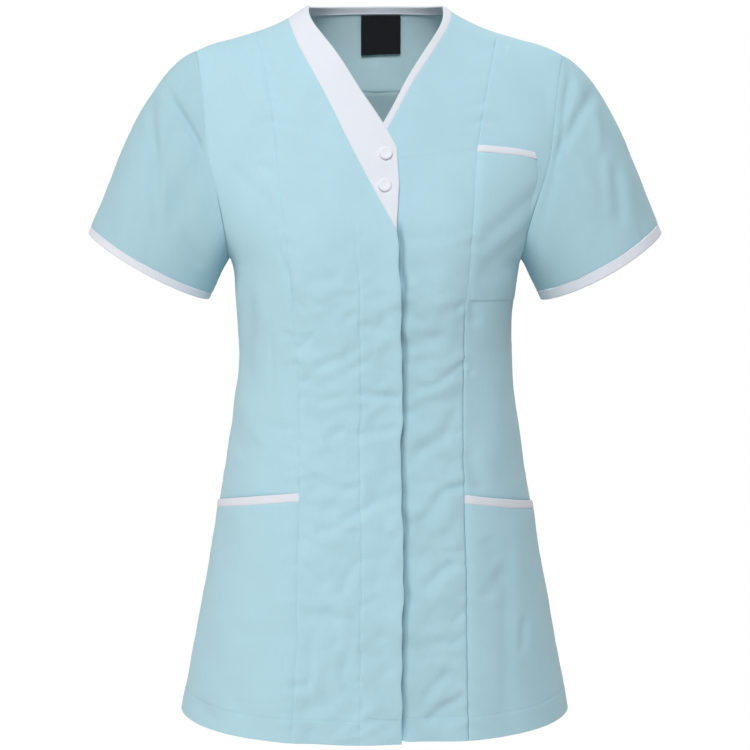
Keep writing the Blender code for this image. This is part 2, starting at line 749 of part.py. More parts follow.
def overlap_edge_x(z):
    """The edge of the overlap: the band's inner edge, then the front edge."""
    corner = BAND_INNER[-1].z
    return np.where(z > corner, band_inner_x(np.maximum(z, corner)), front_edge_x(np.minimum(z, corner)))


def underlap_lift(grids):
    """The wearer's left front sinks just inside the panel that crosses over it."""
    x = half_width(grids[1]) * np.sin(grids[0])
    depth = TRIM_WALL + 2 * LAYER_GAP
    return -depth * ease((overlap_edge_x(grids[1]) + UNDERLAP_SLOPE_X - x) / UNDERLAP_SLOPE)[..., None]


def build_front_centre_left():
    grids = centre_grids(left_neck_seam(), princess_seam("left"), CENTRE_LEFT_COLUMNS)
    near_hem = np.linspace(0, 1, ROWS + 1)[:, None] ** 8
    grids[1] = grids[1] + UNDERLAP_RISE * near_hem * (1 - CENTRE_LEFT_COLUMNS)
    lift = underlap_lift(grids)
    torso_wall("front_centre_left", "front", grids, lift, WALL, BLUE, True, (0.5, 0, 0.5, 0.5))


def side_grids(side):
    inner, outer = princess_seam(side), outer_seam(side)
    top = shoulder_top(inner[0][0], outer[0][0], SIDE_COLUMNS)
    low_inner = across_of(inner[0][-1], HEM_FRONT_Z)
    low = hem_line(low_inner, SIGN[side] * np.pi / 2, SIDE_COLUMNS)
    return patch(inner, outer, SIDE_COLUMNS, top, low)


def build_front_side(side):
    edges = (0.5, 0, 0.5, 0.5)
    grids = side_grids(side)
    torso_wall(f"front_side_{side}", "front", grids, 0, WALL, BLUE, side == "left", edges, side)


# ---------------------------------------------------------------- back
def back_half(side, neck_x):
    """Angles and heights of one half of the back, from the middle line to armhole and side seam."""
    outer = outer_seam(side)
    top_z = BACK_NECK_Z - BINDING_WIDTH
    upper_z = top_z + (UNDERARM_Z - top_z) * armhole_steps() ** BACK_ROW_POWER
    lower_z = UNDERARM_Z + (HEM_FRONT_Z - UNDERARM_Z) * skirt_steps()
    middle_z = np.concatenate([upper_z, lower_z])
    middle = (np.zeros_like(middle_z), middle_z)
    tip_x = abs(outer[0][0])
    under_neck = np.linspace(0, neck_x, BACK_NECK_STEPS // 2 + 1)
    under_shoulder = np.linspace(neck_x, tip_x, BACK_SHOULDER_STEPS + 1)[1:]
    us = np.concatenate([under_neck, under_shoulder]) / tip_x
    low = hem_line(0, SIGN[side] * np.pi / 2, us)
    return patch(middle, outer, us, back_top(outer[0][0], us), low)


def build_back():
    neck_x = shoulder_x(BACK_NECK_Z - BINDING_WIDTH)
    right, left = back_half("right", neck_x), back_half("left", neck_x)
    grids = [np.concatenate([r[:, :0:-1], l], axis=1) for r, l in zip(right, left)]
    points, out = form_points("back", *grids)
    out = out.copy()
    rows = np.arange(ARMHOLE_ROWS + 1)
    for side, col in (("right", 0), ("left", -1)):
        _, sleeve_out, ring_out = sleeve_grid(side)
        out[rows, col] = seam_directions(ring_out, sleeve_out[0])[-rows]
    yoke = pull_in(points[: YOKE_ROW + 1])
    body = pull_in(points[YOKE_ROW:], low=0)
    add_wall("back_yoke", yoke, yoke - out[: YOKE_ROW + 1] * WALL, BLUE)
    add_wall("back_body", body, body - out[YOKE_ROW:] * WALL, BLUE)


def back_top(tip_x, us):
    """The back's top edge: under the neck binding, then along the shoulder line."""
    x = tip_x * us
    z = np.minimum(shoulder_z(np.abs(x)), BACK_NECK_Z - BINDING_WIDTH)
    return across_of(x, z), z


# ---------------------------------------------------------------- neck pieces
def build_neck_band():
    """The wide band of the wearer's right neckline, from the shoulder to its point."""
    us = np.linspace(0, 1, 5)
    top_in = shoulder_meeting(band_inner_x, 0.0)
    steps = row_steps()[: BAND_TIP_ROW + 1] / row_steps()[BAND_TIP_ROW]
    outer = tuple(line[: BAND_TIP_ROW + 1] for line in band_seam())
    last_in = BAND_OUTER[-1].z
    z = top_in + (last_in - top_in) * steps
    x = overlap_edge_x(z)
    x[-1] = outer[0][-1] + BAND_TIP_WIDTH
    inner = (x, z)
    top = shoulder_top(inner[0][0], outer[0][0], us)
    grids = patch(inner, outer, us, top)
    proud = (TRIM_WALL - WALL) / 2
    torso_wall("neck_band", "front", grids, proud, TRIM_WALL, WHITE, False, (0.5, 1, 0, 0.5))


def build_neck_binding_left():
    us = np.array([0, 0.5, 1])
    seam_x, seam_z = left_neck_seam()
    outer = (seam_x[: NECK_END_ROW + 1], seam_z[: NECK_END_ROW + 1])
    top = shoulder_meeting(left_neckline_x, 0.0)
    steps = row_steps()[: NECK_END_ROW + 1] / row_steps()[NECK_END_ROW]
    z = top + (LEFT_NECKLINE[-1].z - top) * steps
    inner = (left_neckline_x(z), z)
    grids = patch(inner, outer, us, shoulder_top(inner[0][0], outer[0][0], us))
    proud = (TRIM_WALL - WALL) / 2
    lift = underlap_lift(grids) + proud
    torso_wall("neck_binding_left", "front", grids, lift, TRIM_WALL, WHITE, True, (0.5, 0, 0, 0.5))


def build_neck_binding_back():
    """A strip along the back neckline from one side neck point to the other."""
    top_x = shoulder_x(BACK_NECK_Z)
    low_x = shoulder_x(BACK_NECK_Z - BINDING_WIDTH)
    down = np.array([0, 0.5, 1])[:, None]
    x = np.linspace(-1, 1, BACK_NECK_STEPS + 1) * (top_x + (low_x - top_x) * down)
    z = BACK_NECK_Z - BINDING_WIDTH * down * np.ones_like(x)
    points, out = form_points("back", across_of(x, z), z)
    base = pull_in(points, 0, 0, 0.5, 0.5)
    base[-1] += unit(base[-2] - base[-1]) * SEAM_GAP * 0.5
    proud = (TRIM_WALL - WALL) / 2
    add_wall("neck_binding_back", base + out * proud, base - out * (WALL + proud), WHITE)


# ---------------------------------------------------------------- pockets
def read_grid(grid, rows, cols):
    """Points between those of a panel's grid, on its own facets."""
    row, col = np.floor(rows).astype(int), np.floor(cols).astype(int)
    row = np.clip(row, 0, grid.shape[0] - 2)
    col = np.clip(col, 0, grid.shape[1] - 2)
    down, aside = (rows - row)[..., None], (cols - col)[..., None]
    upper = grid[row, col] * (1 - aside) + grid[row, col + 1] * aside
    lower = grid[row + 1, col] * (1 - aside) + grid[row + 1, col + 1] * aside
    return upper * (1 - down) + lower * down


def rows_between(points, lines, tops, lows):
    """Row numbers of a piece: its top line, the panel's own rows, its lower line."""
    rows = np.arange(len(points))
    heights = read_grid(points, rows[:, None] + 0.0 * lines, lines)[..., 2]
    first = np.array([np.interp(-top, -heights[:, i], rows) for i, top in enumerate(tops)])
    last = np.array([np.interp(-low, -heights[:, i], rows) for i, low in enumerate(lows)])
    own = np.arange(np.floor(first.min()), np.ceil(last.max()) + 1)[:, None]
    lowest_start = first + ROW_SPREAD * (own - own[0])
    highest_end = last - ROW_SPREAD * (own[-1] - own)
    return np.minimum(np.maximum(own, lowest_start), highest_end)


def at_rows(lines, rows):
    """Where each line down the panel is at the given rows, as column numbers."""
    own = np.arange(len(lines))
    return np.stack([np.interp(rows[:, i], own, lines[:, i]) for i in range(lines.shape[1])], axis=1)


def pocket_wall(name, side, grid_cells, bag, mouth_z, thick, paint):
    """A pocket lies on its panel and bags out a little at its mouth."""
    points, out = form_points("front", *side_grids(side))
    rows, cols = grid_cells
    base, facing = read_grid(points, rows, cols), unit(read_grid(out, rows, cols))
    base = pull_in(base, 0, 1, 3, 2)
    mouth = np.exp(-(((mouth_z - base[..., 2]) / POCKET_MOUTH_REACH) ** 2))
    spread = POCKET_EDGE_SHARE + (1 - POCKET_EDGE_SHARE) * np.sin(np.pi * cols / cols[:, -1:])
    lift = (LAYER_GAP + bag * mouth * spread)[..., None]
    add_wall(name, base + facing * (lift + thick), base + facing * lift, paint, side == "left")


def build_pocket(name, side, lines, tops, lows, bag):
    """The pocket's bag and the white trim along its mouth."""
    points, _ = form_points("front", *side_grids(side))
    seam = tops - TRIM_WIDTH
    rows = rows_between(points, lines, seam, lows)
    pocket_wall(name, side, (rows, at_rows(lines, rows)), bag, tops, WALL, BLUE)
    rows = rows_between(points, lines, tops, seam + SEAM_GAP * 2)[[0, -1]]
    rows = np.stack([rows[0], (rows[0] + rows[1]) / 2, rows[1]])
    trim_name = name.replace("pocket", "pocket_trim")
    pocket_wall(trim_name, side, (rows, at_rows(lines, rows)), bag, tops, TRIM_WALL, WHITE)


def build_lower_pocket(side):
    lines = np.arange(len(SIDE_COLUMNS)) * np.ones((ROWS + 1, 1))
    pocket = LOWER_POCKETS[side]
    tops = pocket.inner_z + (pocket.outer_z - pocket.inner_z) * SIDE_COLUMNS**POCKET_MOUTH_CURVE
    build_pocket(f"lower_pocket_{side}", side, lines, tops, np.full_like(tops, -1.0), pocket.bag)


def build_chest_pocket():
    """Its free side edge slants out from the mouth towards the underarm."""
    edge = np.interp(chest_edge(np.arange(ROWS + 1.0)), SIDE_COLUMNS, np.arange(len(SIDE_COLUMNS)))
    own = np.arange(CHEST_LAST_COLUMN + 1)
    lines = np.minimum(own, edge[:, None] - CHEST_COLUMN_SPREAD * (own[-1] - own))
    lines[:, -1] = edge
    share = lines[int(CHEST_EDGE[0].row)] / lines[int(CHEST_EDGE[0].row), -1]
    tops = CHEST_TOP_INNER_Z + (CHEST_TOP_OUTER_Z - CHEST_TOP_INNER_Z) * share
    lows = CHEST_LOW_INNER_Z + (CHEST_LOW_OUTER_Z - CHEST_LOW_INNER_Z) * share
    build_pocket("chest_pocket", "left", lines, tops, lows, CHEST_BAG)


# ---------------------------------------------------------------- studs and label
def build_stud(stud):
    """A domed cap with a raised rim, turned about the direction that faces out of the band."""
    across = np.array([across_of(stud.x, stud.z)])
    point, out = form_points("front", across, np.array([stud.z]))
    axis = out[0]
    seat = point[0] + axis * ((TRIM_WALL - WALL) / 2 + LAYER_GAP)
    side = unit(np.cross(axis, [0.0, 0.0, 1.0]))
    up = np.cross(side, axis)
    turn = np.linspace(0, 2 * np.pi, STUD_STEPS, endpoint=False)
    circle = np.cos(turn)[:, None] * side + np.sin(turn)[:, None] * up
    points = [seat]
    for ring in STUD_PROFILE:
        points.extend(seat + axis * ring.height * STUD_HEIGHT + circle * ring.radius * STUD_RADIUS)
    points.append(seat + axis * (STUD_HEIGHT - STUD_DISH))
    faces = []
    last = len(points) - 1
    for i in range(STUD_STEPS):
        j = (i + 1) % STUD_STEPS
        faces.append([0, 1 + i, 1 + j])
        for level in range(len(STUD_PROFILE) - 1):
            low, high = 1 + level * STUD_STEPS, 1 + (level + 1) * STUD_STEPS
            faces.append([low + j, low + i, high + i, high + j])
        top = 1 + (len(STUD_PROFILE) - 1) * STUD_STEPS
        faces.append([top + j, top + i, last])
    add_solid(stud.name, points, faces, STUD_WHITE)


def build_label():
    """The label hangs inside the back neck, on the inner side of the yoke."""
    x = np.linspace(LABEL_RIGHT_X, LABEL_LEFT_X, 5)
    z = np.linspace(LABEL_TOP_Z, LABEL_LOW_Z, 5)[:, None]
    z = z * np.ones_like(x)
    x = x * np.ones_like(z)
    points, out = form_points("back", across_of(x, z), z)
    inside = WALL + 2 * LAYER_GAP
    outer = points - out * inside
    add_wall("label", outer, outer - out * LABEL_WALL, BLACK)


# ---------------------------------------------------------------- main
def clear_scene():
    for old in list(bpy.data.objects):
        bpy.data.objects.remove(old, do_unlink=True)


def main():
    clear_scene()
    build_front_centre_right()
    build_front_centre_left()
    for side in ("right", "left"):
        build_front_side(side)
        build_sleeve(side)
        build_lower_pocket(side)
    build_back()
    build_neck_band()
    build_neck_binding_left()
    build_neck_binding_back()
    build_chest_pocket()
    for stud in STUDS:
        build_stud(stud)
    build_label()


main()
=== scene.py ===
# %% [markdown]
# # A short-sleeved work tunic
#
# The tunic stands filled out with nobody in it, so every panel is a thin sheet of cloth held in
# the form of a body. A cloth simulation would drop such a sheet to the floor. It is drawn here
# the way a pattern cutter thinks instead: one torso form, seams drawn on it, and a panel between
# each two seams. The folds and puckers are then pressed into each panel.

# %% Load the imported model
from collections import namedtuple
from functools import partial

import bpy
import numpy as np
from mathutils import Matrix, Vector


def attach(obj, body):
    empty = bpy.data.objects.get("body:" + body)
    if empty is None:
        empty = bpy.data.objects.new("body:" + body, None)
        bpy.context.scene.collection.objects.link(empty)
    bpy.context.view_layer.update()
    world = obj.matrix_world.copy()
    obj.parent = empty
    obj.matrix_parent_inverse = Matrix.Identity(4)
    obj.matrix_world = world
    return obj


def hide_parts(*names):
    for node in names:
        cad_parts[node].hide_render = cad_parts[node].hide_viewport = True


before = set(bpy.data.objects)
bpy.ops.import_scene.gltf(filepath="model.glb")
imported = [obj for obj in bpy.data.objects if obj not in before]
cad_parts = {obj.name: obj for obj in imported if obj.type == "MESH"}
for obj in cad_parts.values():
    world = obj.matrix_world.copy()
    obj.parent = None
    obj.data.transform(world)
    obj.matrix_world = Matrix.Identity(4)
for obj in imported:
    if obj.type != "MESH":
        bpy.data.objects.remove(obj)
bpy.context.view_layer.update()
print("nodes:", ", ".join(sorted(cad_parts)))

# %% [markdown]
# ## Camera
#
# A catalogue photograph is taken with a long lens, so that the garment isn't stretched towards
# its edges. The camera stands three metres off, level with the neck, and looks slightly down.
# The lens is worked out from the width that it has to take in.

# %% Camera
CAMERA_AT = Vector((0.0, -3.0, 0.0))
LOOK_AT = Vector((0.0, 0.0, -0.3665))
VIEW_WIDTH = 0.750
SENSOR_MM = 36.0


def aim(thing, target):
    thing.rotation_euler = (target - thing.location).to_track_quat("-Z", "Y").to_euler()


camera_data = bpy.data.cameras.new("studio_camera")
camera_data.sensor_width = SENSOR_MM
camera_data.lens = SENSOR_MM * (LOOK_AT - CAMERA_AT).length / VIEW_WIDTH
camera = bpy.data.objects.new("studio_camera", camera_data)
bpy.context.scene.collection.objects.link(camera)
camera.location = CAMERA_AT
aim(camera, LOOK_AT)
bpy.context.scene.camera = camera
bpy.context.scene.view_settings.view_transform = "Standard"
print("lens mm:", round(camera_data.lens, 1))

# %% [markdown]
# ## Light
#
# A studio lights pale cloth with large soft boxes, so that its creases show without hard
# shadows. Area lights do the same. The key light stands high in front, and weaker ones fill in
# from the side and from behind. The backdrop is white, so the world is white to the camera, but
# it gives the cloth only part of its light, or every crease would be washed out.

# %% Lights
Lamp = namedtuple("Lamp", "name turn rise size watts tint")
COOL, WARM = (0.995, 1.0, 1.018), (1.05, 1.0, 0.950)
LAMPS = [
    Lamp("key", -3, 41, 1.2, 119, COOL),
    Lamp("low_fill", -80, -12, 1.6, 44, WARM),
    Lamp("back_right", 145, 30, 1.6, 54, WARM),
    Lamp("back_left", 215, 30, 1.6, 24, WARM),
    Lamp("top", 180, 84, 1.6, 20, COOL),
]
LAMP_DISTANCE = 4.2
AMBIENT = 0.20

for lamp in LAMPS:
    light = bpy.data.lights.new(lamp.name, "AREA")
    light.size = lamp.size
    light.energy = lamp.watts
    light.color = lamp.tint
    light_object = bpy.data.objects.new(lamp.name, light)
    bpy.context.scene.collection.objects.link(light_object)
    turn, rise = np.radians(lamp.turn), np.radians(lamp.rise)
    way = Vector((np.sin(turn) * np.cos(rise), -np.cos(turn) * np.cos(rise), np.sin(rise)))
    light_object.location = LOOK_AT + way * LAMP_DISTANCE
    aim(light_object, LOOK_AT)

world = bpy.data.worlds.new("white_studio")
bpy.context.scene.world = world
world.use_nodes = True
nodes, links = world.node_tree.nodes, world.node_tree.links
background = nodes["Background"]
background.inputs["Color"].default_value = (1, 1, 1, 1)
seen = nodes.new("ShaderNodeLightPath")
strength = nodes.new("ShaderNodeMapRange")
strength.inputs["To Min"].default_value = AMBIENT
strength.inputs["To Max"].default_value = 1.0
links.new(seen.outputs["Is Camera Ray"], strength.inputs["Value"])
links.new(strength.outputs["Result"], background.inputs["Strength"])
print("lamps:", ", ".join(lamp.name for lamp in LAMPS))

# %% [markdown]
# ## Floor
#
# The tunic hangs as if worn, so nothing holds it up and it casts no shadow on a floor nearby. A
# plain pale disc lies well below the hem, where the front view doesn't show it.

# %% Floor
FLOOR_Z = -1.30
FLOOR_RADIUS = 2.2
bpy.ops.mesh.primitive_circle_add(
    vertices=128, radius=FLOOR_RADIUS, fill_type="NGON", location=(0, 0, FLOOR_Z)
)
floor = bpy.context.active_object
floor.name = "studio_floor"
floor_paint = bpy.data.materials.new("pale_floor")
floor_paint.use_nodes = True
floor_shader = floor_paint.node_tree.nodes["Principled BSDF"]
floor_shader.inputs["Base Color"].default_value = (0.86, 0.86, 0.86, 1)
floor_shader.inputs["Roughness"].default_value = 0.9
floor.data.materials.append(floor_paint)
print("floor at z", FLOOR_Z)

# %% [markdown]
# ## The torso form
#
# The form is a stack of soft-cornered ovals. Each row of the table gives one height, with its
# half width and how far it stands out in front and behind. These are the same sizes that the
# solid model uses, so each panel lands where its solid is.

# %% Form tables
Section = namedtuple("Section", "z half_width front back squareness")
SECTIONS = [
    Section(0.060, 0.200, 0.076, 0.090, 2.3),
    Section(0.000, 0.200, 0.081, 0.095, 2.3),
    Section(-0.050, 0.200, 0.090, 0.105, 2.3),
    Section(-0.100, 0.199, 0.104, 0.114, 2.3),
    Section(-0.140, 0.195, 0.116, 0.119, 2.3),
    Section(-0.180, 0.182, 0.127, 0.120, 2.3),
    Section(-0.215, 0.164, 0.135, 0.118, 2.3),
    Section(-0.250, 0.1435, 0.138, 0.114, 2.3),
    Section(-0.290, 0.1382, 0.136, 0.107, 2.3),
    Section(-0.330, 0.1357, 0.130, 0.099, 2.3),
    Section(-0.360, 0.1364, 0.127, 0.096, 2.3),
    Section(-0.400, 0.1412, 0.126, 0.099, 2.3),
    Section(-0.440, 0.1475, 0.129, 0.107, 2.25),
    Section(-0.500, 0.1570, 0.136, 0.121, 2.2),
    Section(-0.560, 0.1668, 0.143, 0.132, 2.15),
    Section(-0.630, 0.1802, 0.149, 0.138, 2.1),
    Section(-0.715, 0.1960, 0.154, 0.141, 2.0),
]
Point = namedtuple("Point", "x z")
SHOULDER = [
    Point(0.000, 0.0460),
    Point(0.035, 0.0270),
    Point(0.066, 0.0000),
    Point(0.079, -0.0085),
    Point(0.104, -0.0203),
    Point(0.139, -0.0320),
    Point(0.174, -0.0430),
    Point(0.188, -0.0505),
    Point(0.200, -0.0620),
]
SHOULDER_ROUND = {"front": 0.080, "back": 0.052}
BUST_X, BUST_Z, BUST_WIDTH, BUST_HEIGHT, BUST_FULLNESS = 0.082, -0.235, 0.050, 0.065, 0.009


def curve(rows, key, column):
    """A smooth function through one named column of a table, along another."""
    rows = sorted(rows, key=lambda row: getattr(row, key))
    knots = np.array([getattr(row, key) for row in rows])
    values = np.array([getattr(row, column) for row in rows])
    slopes = np.gradient(values, knots)

    def read(where):
        where = np.clip(where, knots[0], knots[-1])
        i = np.clip(np.searchsorted(knots, where) - 1, 0, len(knots) - 2)
        span = knots[i + 1] - knots[i]
        t = (where - knots[i]) / span
        start = (1 + 2 * t) * (1 - t) ** 2 * values[i] + t * (1 - t) ** 2 * span * slopes[i]
        end = t * t * (3 - 2 * t) * values[i + 1] - t * t * (1 - t) * span * slopes[i + 1]
        return start + end

    return read


def ease(t):
    """0 to 1 with soft ends."""
    t = np.clip(t, 0, 1)
    return t * t * (3 - 2 * t)


def unit(vectors):
    return vectors / np.maximum(np.linalg.norm(vectors, axis=-1, keepdims=True), 1e-12)


half_width = curve(SECTIONS, "z", "half_width")
depth_of = {"front": curve(SECTIONS, "z", "front"), "back": curve(SECTIONS, "z", "back")}
squareness = curve(SECTIONS, "z", "squareness")
shoulder_z = curve(SHOULDER, "x", "z")
print("half width at the bust:", round(float(half_width(BUST_Z)), 4))

# %% [markdown]
# ## Points of the form
#
# A point of the form is where a small equation is zero, and the slope of that equation is the
# direction straight out of the cloth. Every fold below moves the cloth along that direction.


# %% Points and directions on the form
def reach(face, x, z):
    if face == "back":
        return depth_of["back"](z)
    across = (np.abs(x) - BUST_X) / BUST_WIDTH
    down = (z - BUST_Z) / BUST_HEIGHT
    return depth_of["front"](z) + BUST_FULLNESS * np.exp(-(across**2) - down**2)


def form_share(face, x, z):
    """1 on the middle line well below the shoulder, 0 at the side and on the shoulder line."""
    rounding = SHOULDER_ROUND[face]
    drop = shoulder_z(np.abs(x)) - z
    over = drop / (np.maximum(drop, -0.5 * rounding) + rounding)
    n = squareness(z)
    ratio = np.minimum(np.abs(x) / half_width(z), 1)
    return over * np.maximum(1 - ratio**n, 0) ** (2 / n)


def form_gap(face, x, y, z):
    return (y / reach(face, x, z)) ** 2 - form_share(face, x, z)


def form_y(face, x, z):
    sign = -1 if face == "front" else 1
    return sign * reach(face, x, z) * np.sqrt(np.maximum(form_share(face, x, z), 0))


def form_normal(face, x, y, z):
    step = 2e-5
    gradient = [
        form_gap(face, x + step, y, z) - form_gap(face, x - step, y, z),
        form_gap(face, x, y + step, z) - form_gap(face, x, y - step, z),
        form_gap(face, x, y, z + step) - form_gap(face, x, y, z - step),
    ]
    return unit(np.stack(gradient, axis=-1))


def across_of(x, z):
    """The angle round the body: 0 in the middle, a quarter turn at the side."""
    return np.arcsin(np.clip(x / half_width(z), -1, 1))


print("front of the bust at y", round(float(form_y("front", np.array(BUST_X), np.array(BUST_Z))), 4))

# %% [markdown]
# ## The seams
#
# A seam is a line on the form. Its table gives how far it is from the middle line at each
# height. The wearer's right front crosses over the left, so the two fronts differ.

# %% Seam tables
Seam = namedtuple("Seam", "z right left")
PRINCESS = [
    Seam(-0.030, 0.1165, 0.1195),
    Seam(-0.048, 0.1105, 0.1155),
    Seam(-0.070, 0.1058, 0.1108),
    Seam(-0.100, 0.0998, 0.1052),
    Seam(-0.150, 0.0943, 0.0975),
    Seam(-0.200, 0.0888, 0.0950),
    Seam(-0.250, 0.0833, 0.0915),
    Seam(-0.290, 0.0798, 0.0875),
    Seam(-0.340, 0.0758, 0.0868),
    Seam(-0.400, 0.0736, 0.0862),
    Seam(-0.470, 0.0736, 0.0872),
    Seam(-0.540, 0.0755, 0.0890),
    Seam(-0.620, 0.0765, 0.0900),
    Seam(-0.700, 0.0812, 0.0915),
]
ARMHOLE = [
    Seam(-0.044, 0.1765, 0.1865),
    Seam(-0.060, 0.1725, 0.1825),
    Seam(-0.085, 0.1683, 0.1783),
    Seam(-0.115, 0.1660, 0.1745),
    Seam(-0.145, 0.1625, 0.1710),
    Seam(-0.170, 0.1560, 0.1645),
    Seam(-0.200, 0.1500, 0.1545),
    Seam(-0.226, 0.1460, 0.1475),
    Seam(-0.248, 0.1440, 0.1440),
]
BAND_OUTER = [
    Point(-0.0855, -0.0120),
    Point(-0.0729, -0.0407),
    Point(-0.0581, -0.0665),
    Point(-0.0434, -0.0931),
    Point(-0.0241, -0.1311),
    Point(-0.0029, -0.1707),
    Point(0.0208, -0.2125),
]
BAND_INNER = [
    Point(-0.0652, 0.0016),
    Point(-0.0651, -0.0050),
    Point(-0.0637, -0.0095),
    Point(-0.0596, -0.0166),
    Point(-0.0508, -0.0275),
    Point(-0.0401, -0.0406),
    Point(-0.0145, -0.0788),
    Point(0.0087, -0.1130),
    Point(0.0212, -0.1348),
]
FRONT_EDGE = [
    Point(0.0212, -0.1348),
    Point(0.0230, -0.1755),
    Point(0.0212, -0.2125),
    Point(0.0225, -0.2350),
    Point(0.0249, -0.2800),
    Point(0.0250, -0.3290),
    Point(0.0268, -0.3780),
    Point(0.0251, -0.4150),
    Point(0.0261, -0.4935),
    Point(0.0275, -0.5320),
    Point(0.0261, -0.5900),
    Point(0.0262, -0.7100),
]
LEFT_NECKLINE = [
    Point(0.0664, 0.0005),
    Point(0.0670, -0.0060),
    Point(0.0665, -0.0114),
    Point(0.0636, -0.0190),
    Point(0.0575, -0.0290),
    Point(0.0500, -0.0400),
    Point(0.0424, -0.0512),
    Point(0.0335, -0.0650),
    Point(0.0180, -0.0930),
    Point(0.0025, -0.1206),
    Point(-0.0110, -0.1480),
]
SIGN = {"right": -1.0, "left": 1.0}
band_outer_x = curve(BAND_OUTER, "z", "x")
band_inner_x = curve(BAND_INNER, "z", "x")
front_edge_line = curve(FRONT_EDGE, "z", "x")


EdgeWave = namedtuple("EdgeWave", "size step shift")
EDGE_WAVES = (EdgeWave(0.00045, 0.0091, 1.0), EdgeWave(0.00035, 0.0054, 0.0))
EDGE_WAVE_TOP_Z, EDGE_WAVE_FADE = -0.150, 0.03


def front_edge_x(z):
    """The long free edge of the overlap wanders a little, as hanging cloth does."""
    wander = sum(wave.size * np.sin(z / wave.step + wave.shift) for wave in EDGE_WAVES)
    return front_edge_line(z) + wander * ease((EDGE_WAVE_TOP_Z - z) / EDGE_WAVE_FADE)


left_neckline_x = curve(LEFT_NECKLINE, "z", "x")
princess_x = {side: curve(PRINCESS, "z", side) for side in SIGN}
armhole_x = {side: curve(ARMHOLE, "z", side) for side in SIGN}
print("overlap edge at the bust: x", round(float(front_edge_x(np.array(BUST_Z))), 4))

# %% [markdown]
# ## Rows down the body
#
# Rows are numbered down the body: 0 on the shoulder line, 12 level with the underarm and 30 at
# the hem. A row number may be a fraction, so a panel can have as many rows as its folds need.

# %% Seams, row by row
UNDERARM_Z = -0.248
HEM_FRONT_Z = -0.7105
HEM_SIDE_Z = -0.7045
HEM_SIDE_POWER = 6
HEM_LEFT_RISE, HEM_LEFT_SLOPE = 0.0017, 3
UNDERARM_ROW, HEM_ROW = 12, 30
UNDERARM_SHARE, TOP_ROW_SHARE = 0.325, 0.35
BAND_TIP_ROW, NECK_END_ROW = 10, 8
BINDING_WIDTH = 0.0075
BINDING_SPREAD, BINDING_SPREAD_Z, BINDING_SPREAD_REACH = 0.0018, -0.044, 0.026
UNDERLAP_X = -0.0150


def armhole_share(row):
    return (1 - np.cos(np.pi * np.clip(row / UNDERARM_ROW, 0, 1))) / 2


def skirt_share(row):
    return np.clip((row - UNDERARM_ROW) / (HEM_ROW - UNDERARM_ROW), 0, 1)


def row_share(row):
    t = np.clip(row / UNDERARM_ROW, 0, 1)
    upper = t * (t + TOP_ROW_SHARE) / (1 + TOP_ROW_SHARE)
    return UNDERARM_SHARE * upper + (1 - UNDERARM_SHARE) * skirt_share(row)


def hem_z(across):
    """The hem rises towards the sides, and hangs a little higher on the wearer's left."""
    left = HEM_LEFT_RISE * ease(HEM_LEFT_SLOPE * across + 0.5) * np.sqrt(np.abs(np.cos(across)))
    rise = (HEM_SIDE_Z - HEM_FRONT_Z) * np.abs(np.sin(across)) ** HEM_SIDE_POWER
    return HEM_FRONT_Z + rise + left


def shoulder_meeting(x_of, start):
    """The height at which a seam meets the shoulder line, found by halving."""
    low, high = start - 0.05, start + 0.05
    for _ in range(40):
        middle = (low + high) / 2
        if shoulder_z(abs(x_of(middle))) > middle:
            low = middle
        else:
            high = middle
    return low


def outer_seam(side, row):
    """Armhole, then side seam."""
    tip = shoulder_meeting(armhole_x[side], -0.045)
    z = tip + (UNDERARM_Z - tip) * armhole_share(row) + (HEM_SIDE_Z - UNDERARM_Z) * skirt_share(row)
    above = np.minimum(armhole_x[side](z), half_width(z))
    return SIGN[side] * np.where(row < UNDERARM_ROW, above, half_width(z)), z


def princess_seam(side, row):
    top = shoulder_meeting(princess_x[side], -0.030)
    low = hem_z(SIGN[side] * across_of(princess_x[side](HEM_FRONT_Z), HEM_FRONT_Z))
    z = top + (low - top) * row_share(row)
    return SIGN[side] * princess_x[side](z), z


def edge_line(x_of, top, corner, corner_row, lower_x, row):
    """An edge that follows one curve down to a corner row, and another below it."""
    share, turn = row_share(row), row_share(corner_row)
    z_upper = top + (corner - top) * share / turn
    z_lower = corner + (HEM_FRONT_Z - corner) * (share - turn) / (1 - turn)
    upper = row <= corner_row
    return np.where(upper, x_of(z_upper), lower_x(z_lower)), np.where(upper, z_upper, z_lower)


def band_seam(row):
    top = shoulder_meeting(band_outer_x, -0.020)
    return edge_line(band_outer_x, top, BAND_OUTER[-1].z, BAND_TIP_ROW, front_edge_x, row)


def bound_x(z):
    """The binding is stretched widest where it turns down from the shoulder."""
    spread = BINDING_SPREAD * np.exp(-(((z - BINDING_SPREAD_Z) / BINDING_SPREAD_REACH) ** 2))
    return left_neckline_x(z) + BINDING_WIDTH + spread


def left_neck_seam(row):
    top = shoulder_meeting(bound_x, -0.004)
    end = LEFT_NECKLINE[-1].z
    return edge_line(bound_x, top, end, NECK_END_ROW, lambda z: UNDERLAP_X + 0 * z, row)


for side in SIGN:
    x, z = princess_seam(side, np.array(0.0))
    print(side, "princess seam meets the shoulder at", round(float(x), 4), round(float(z), 4))

# %% [markdown]
# ## Patches
#
# A patch fills the space between two seams. Its top is bent to the shoulder line and its lower
# edge to the hem, and both bends fade out into the panel.


# %% Patches between the seams
def shoulder_top(x0, x1, u):
    x = x0 + (x1 - x0) * u
    z = shoulder_z(np.abs(x))
    return across_of(x, z), z


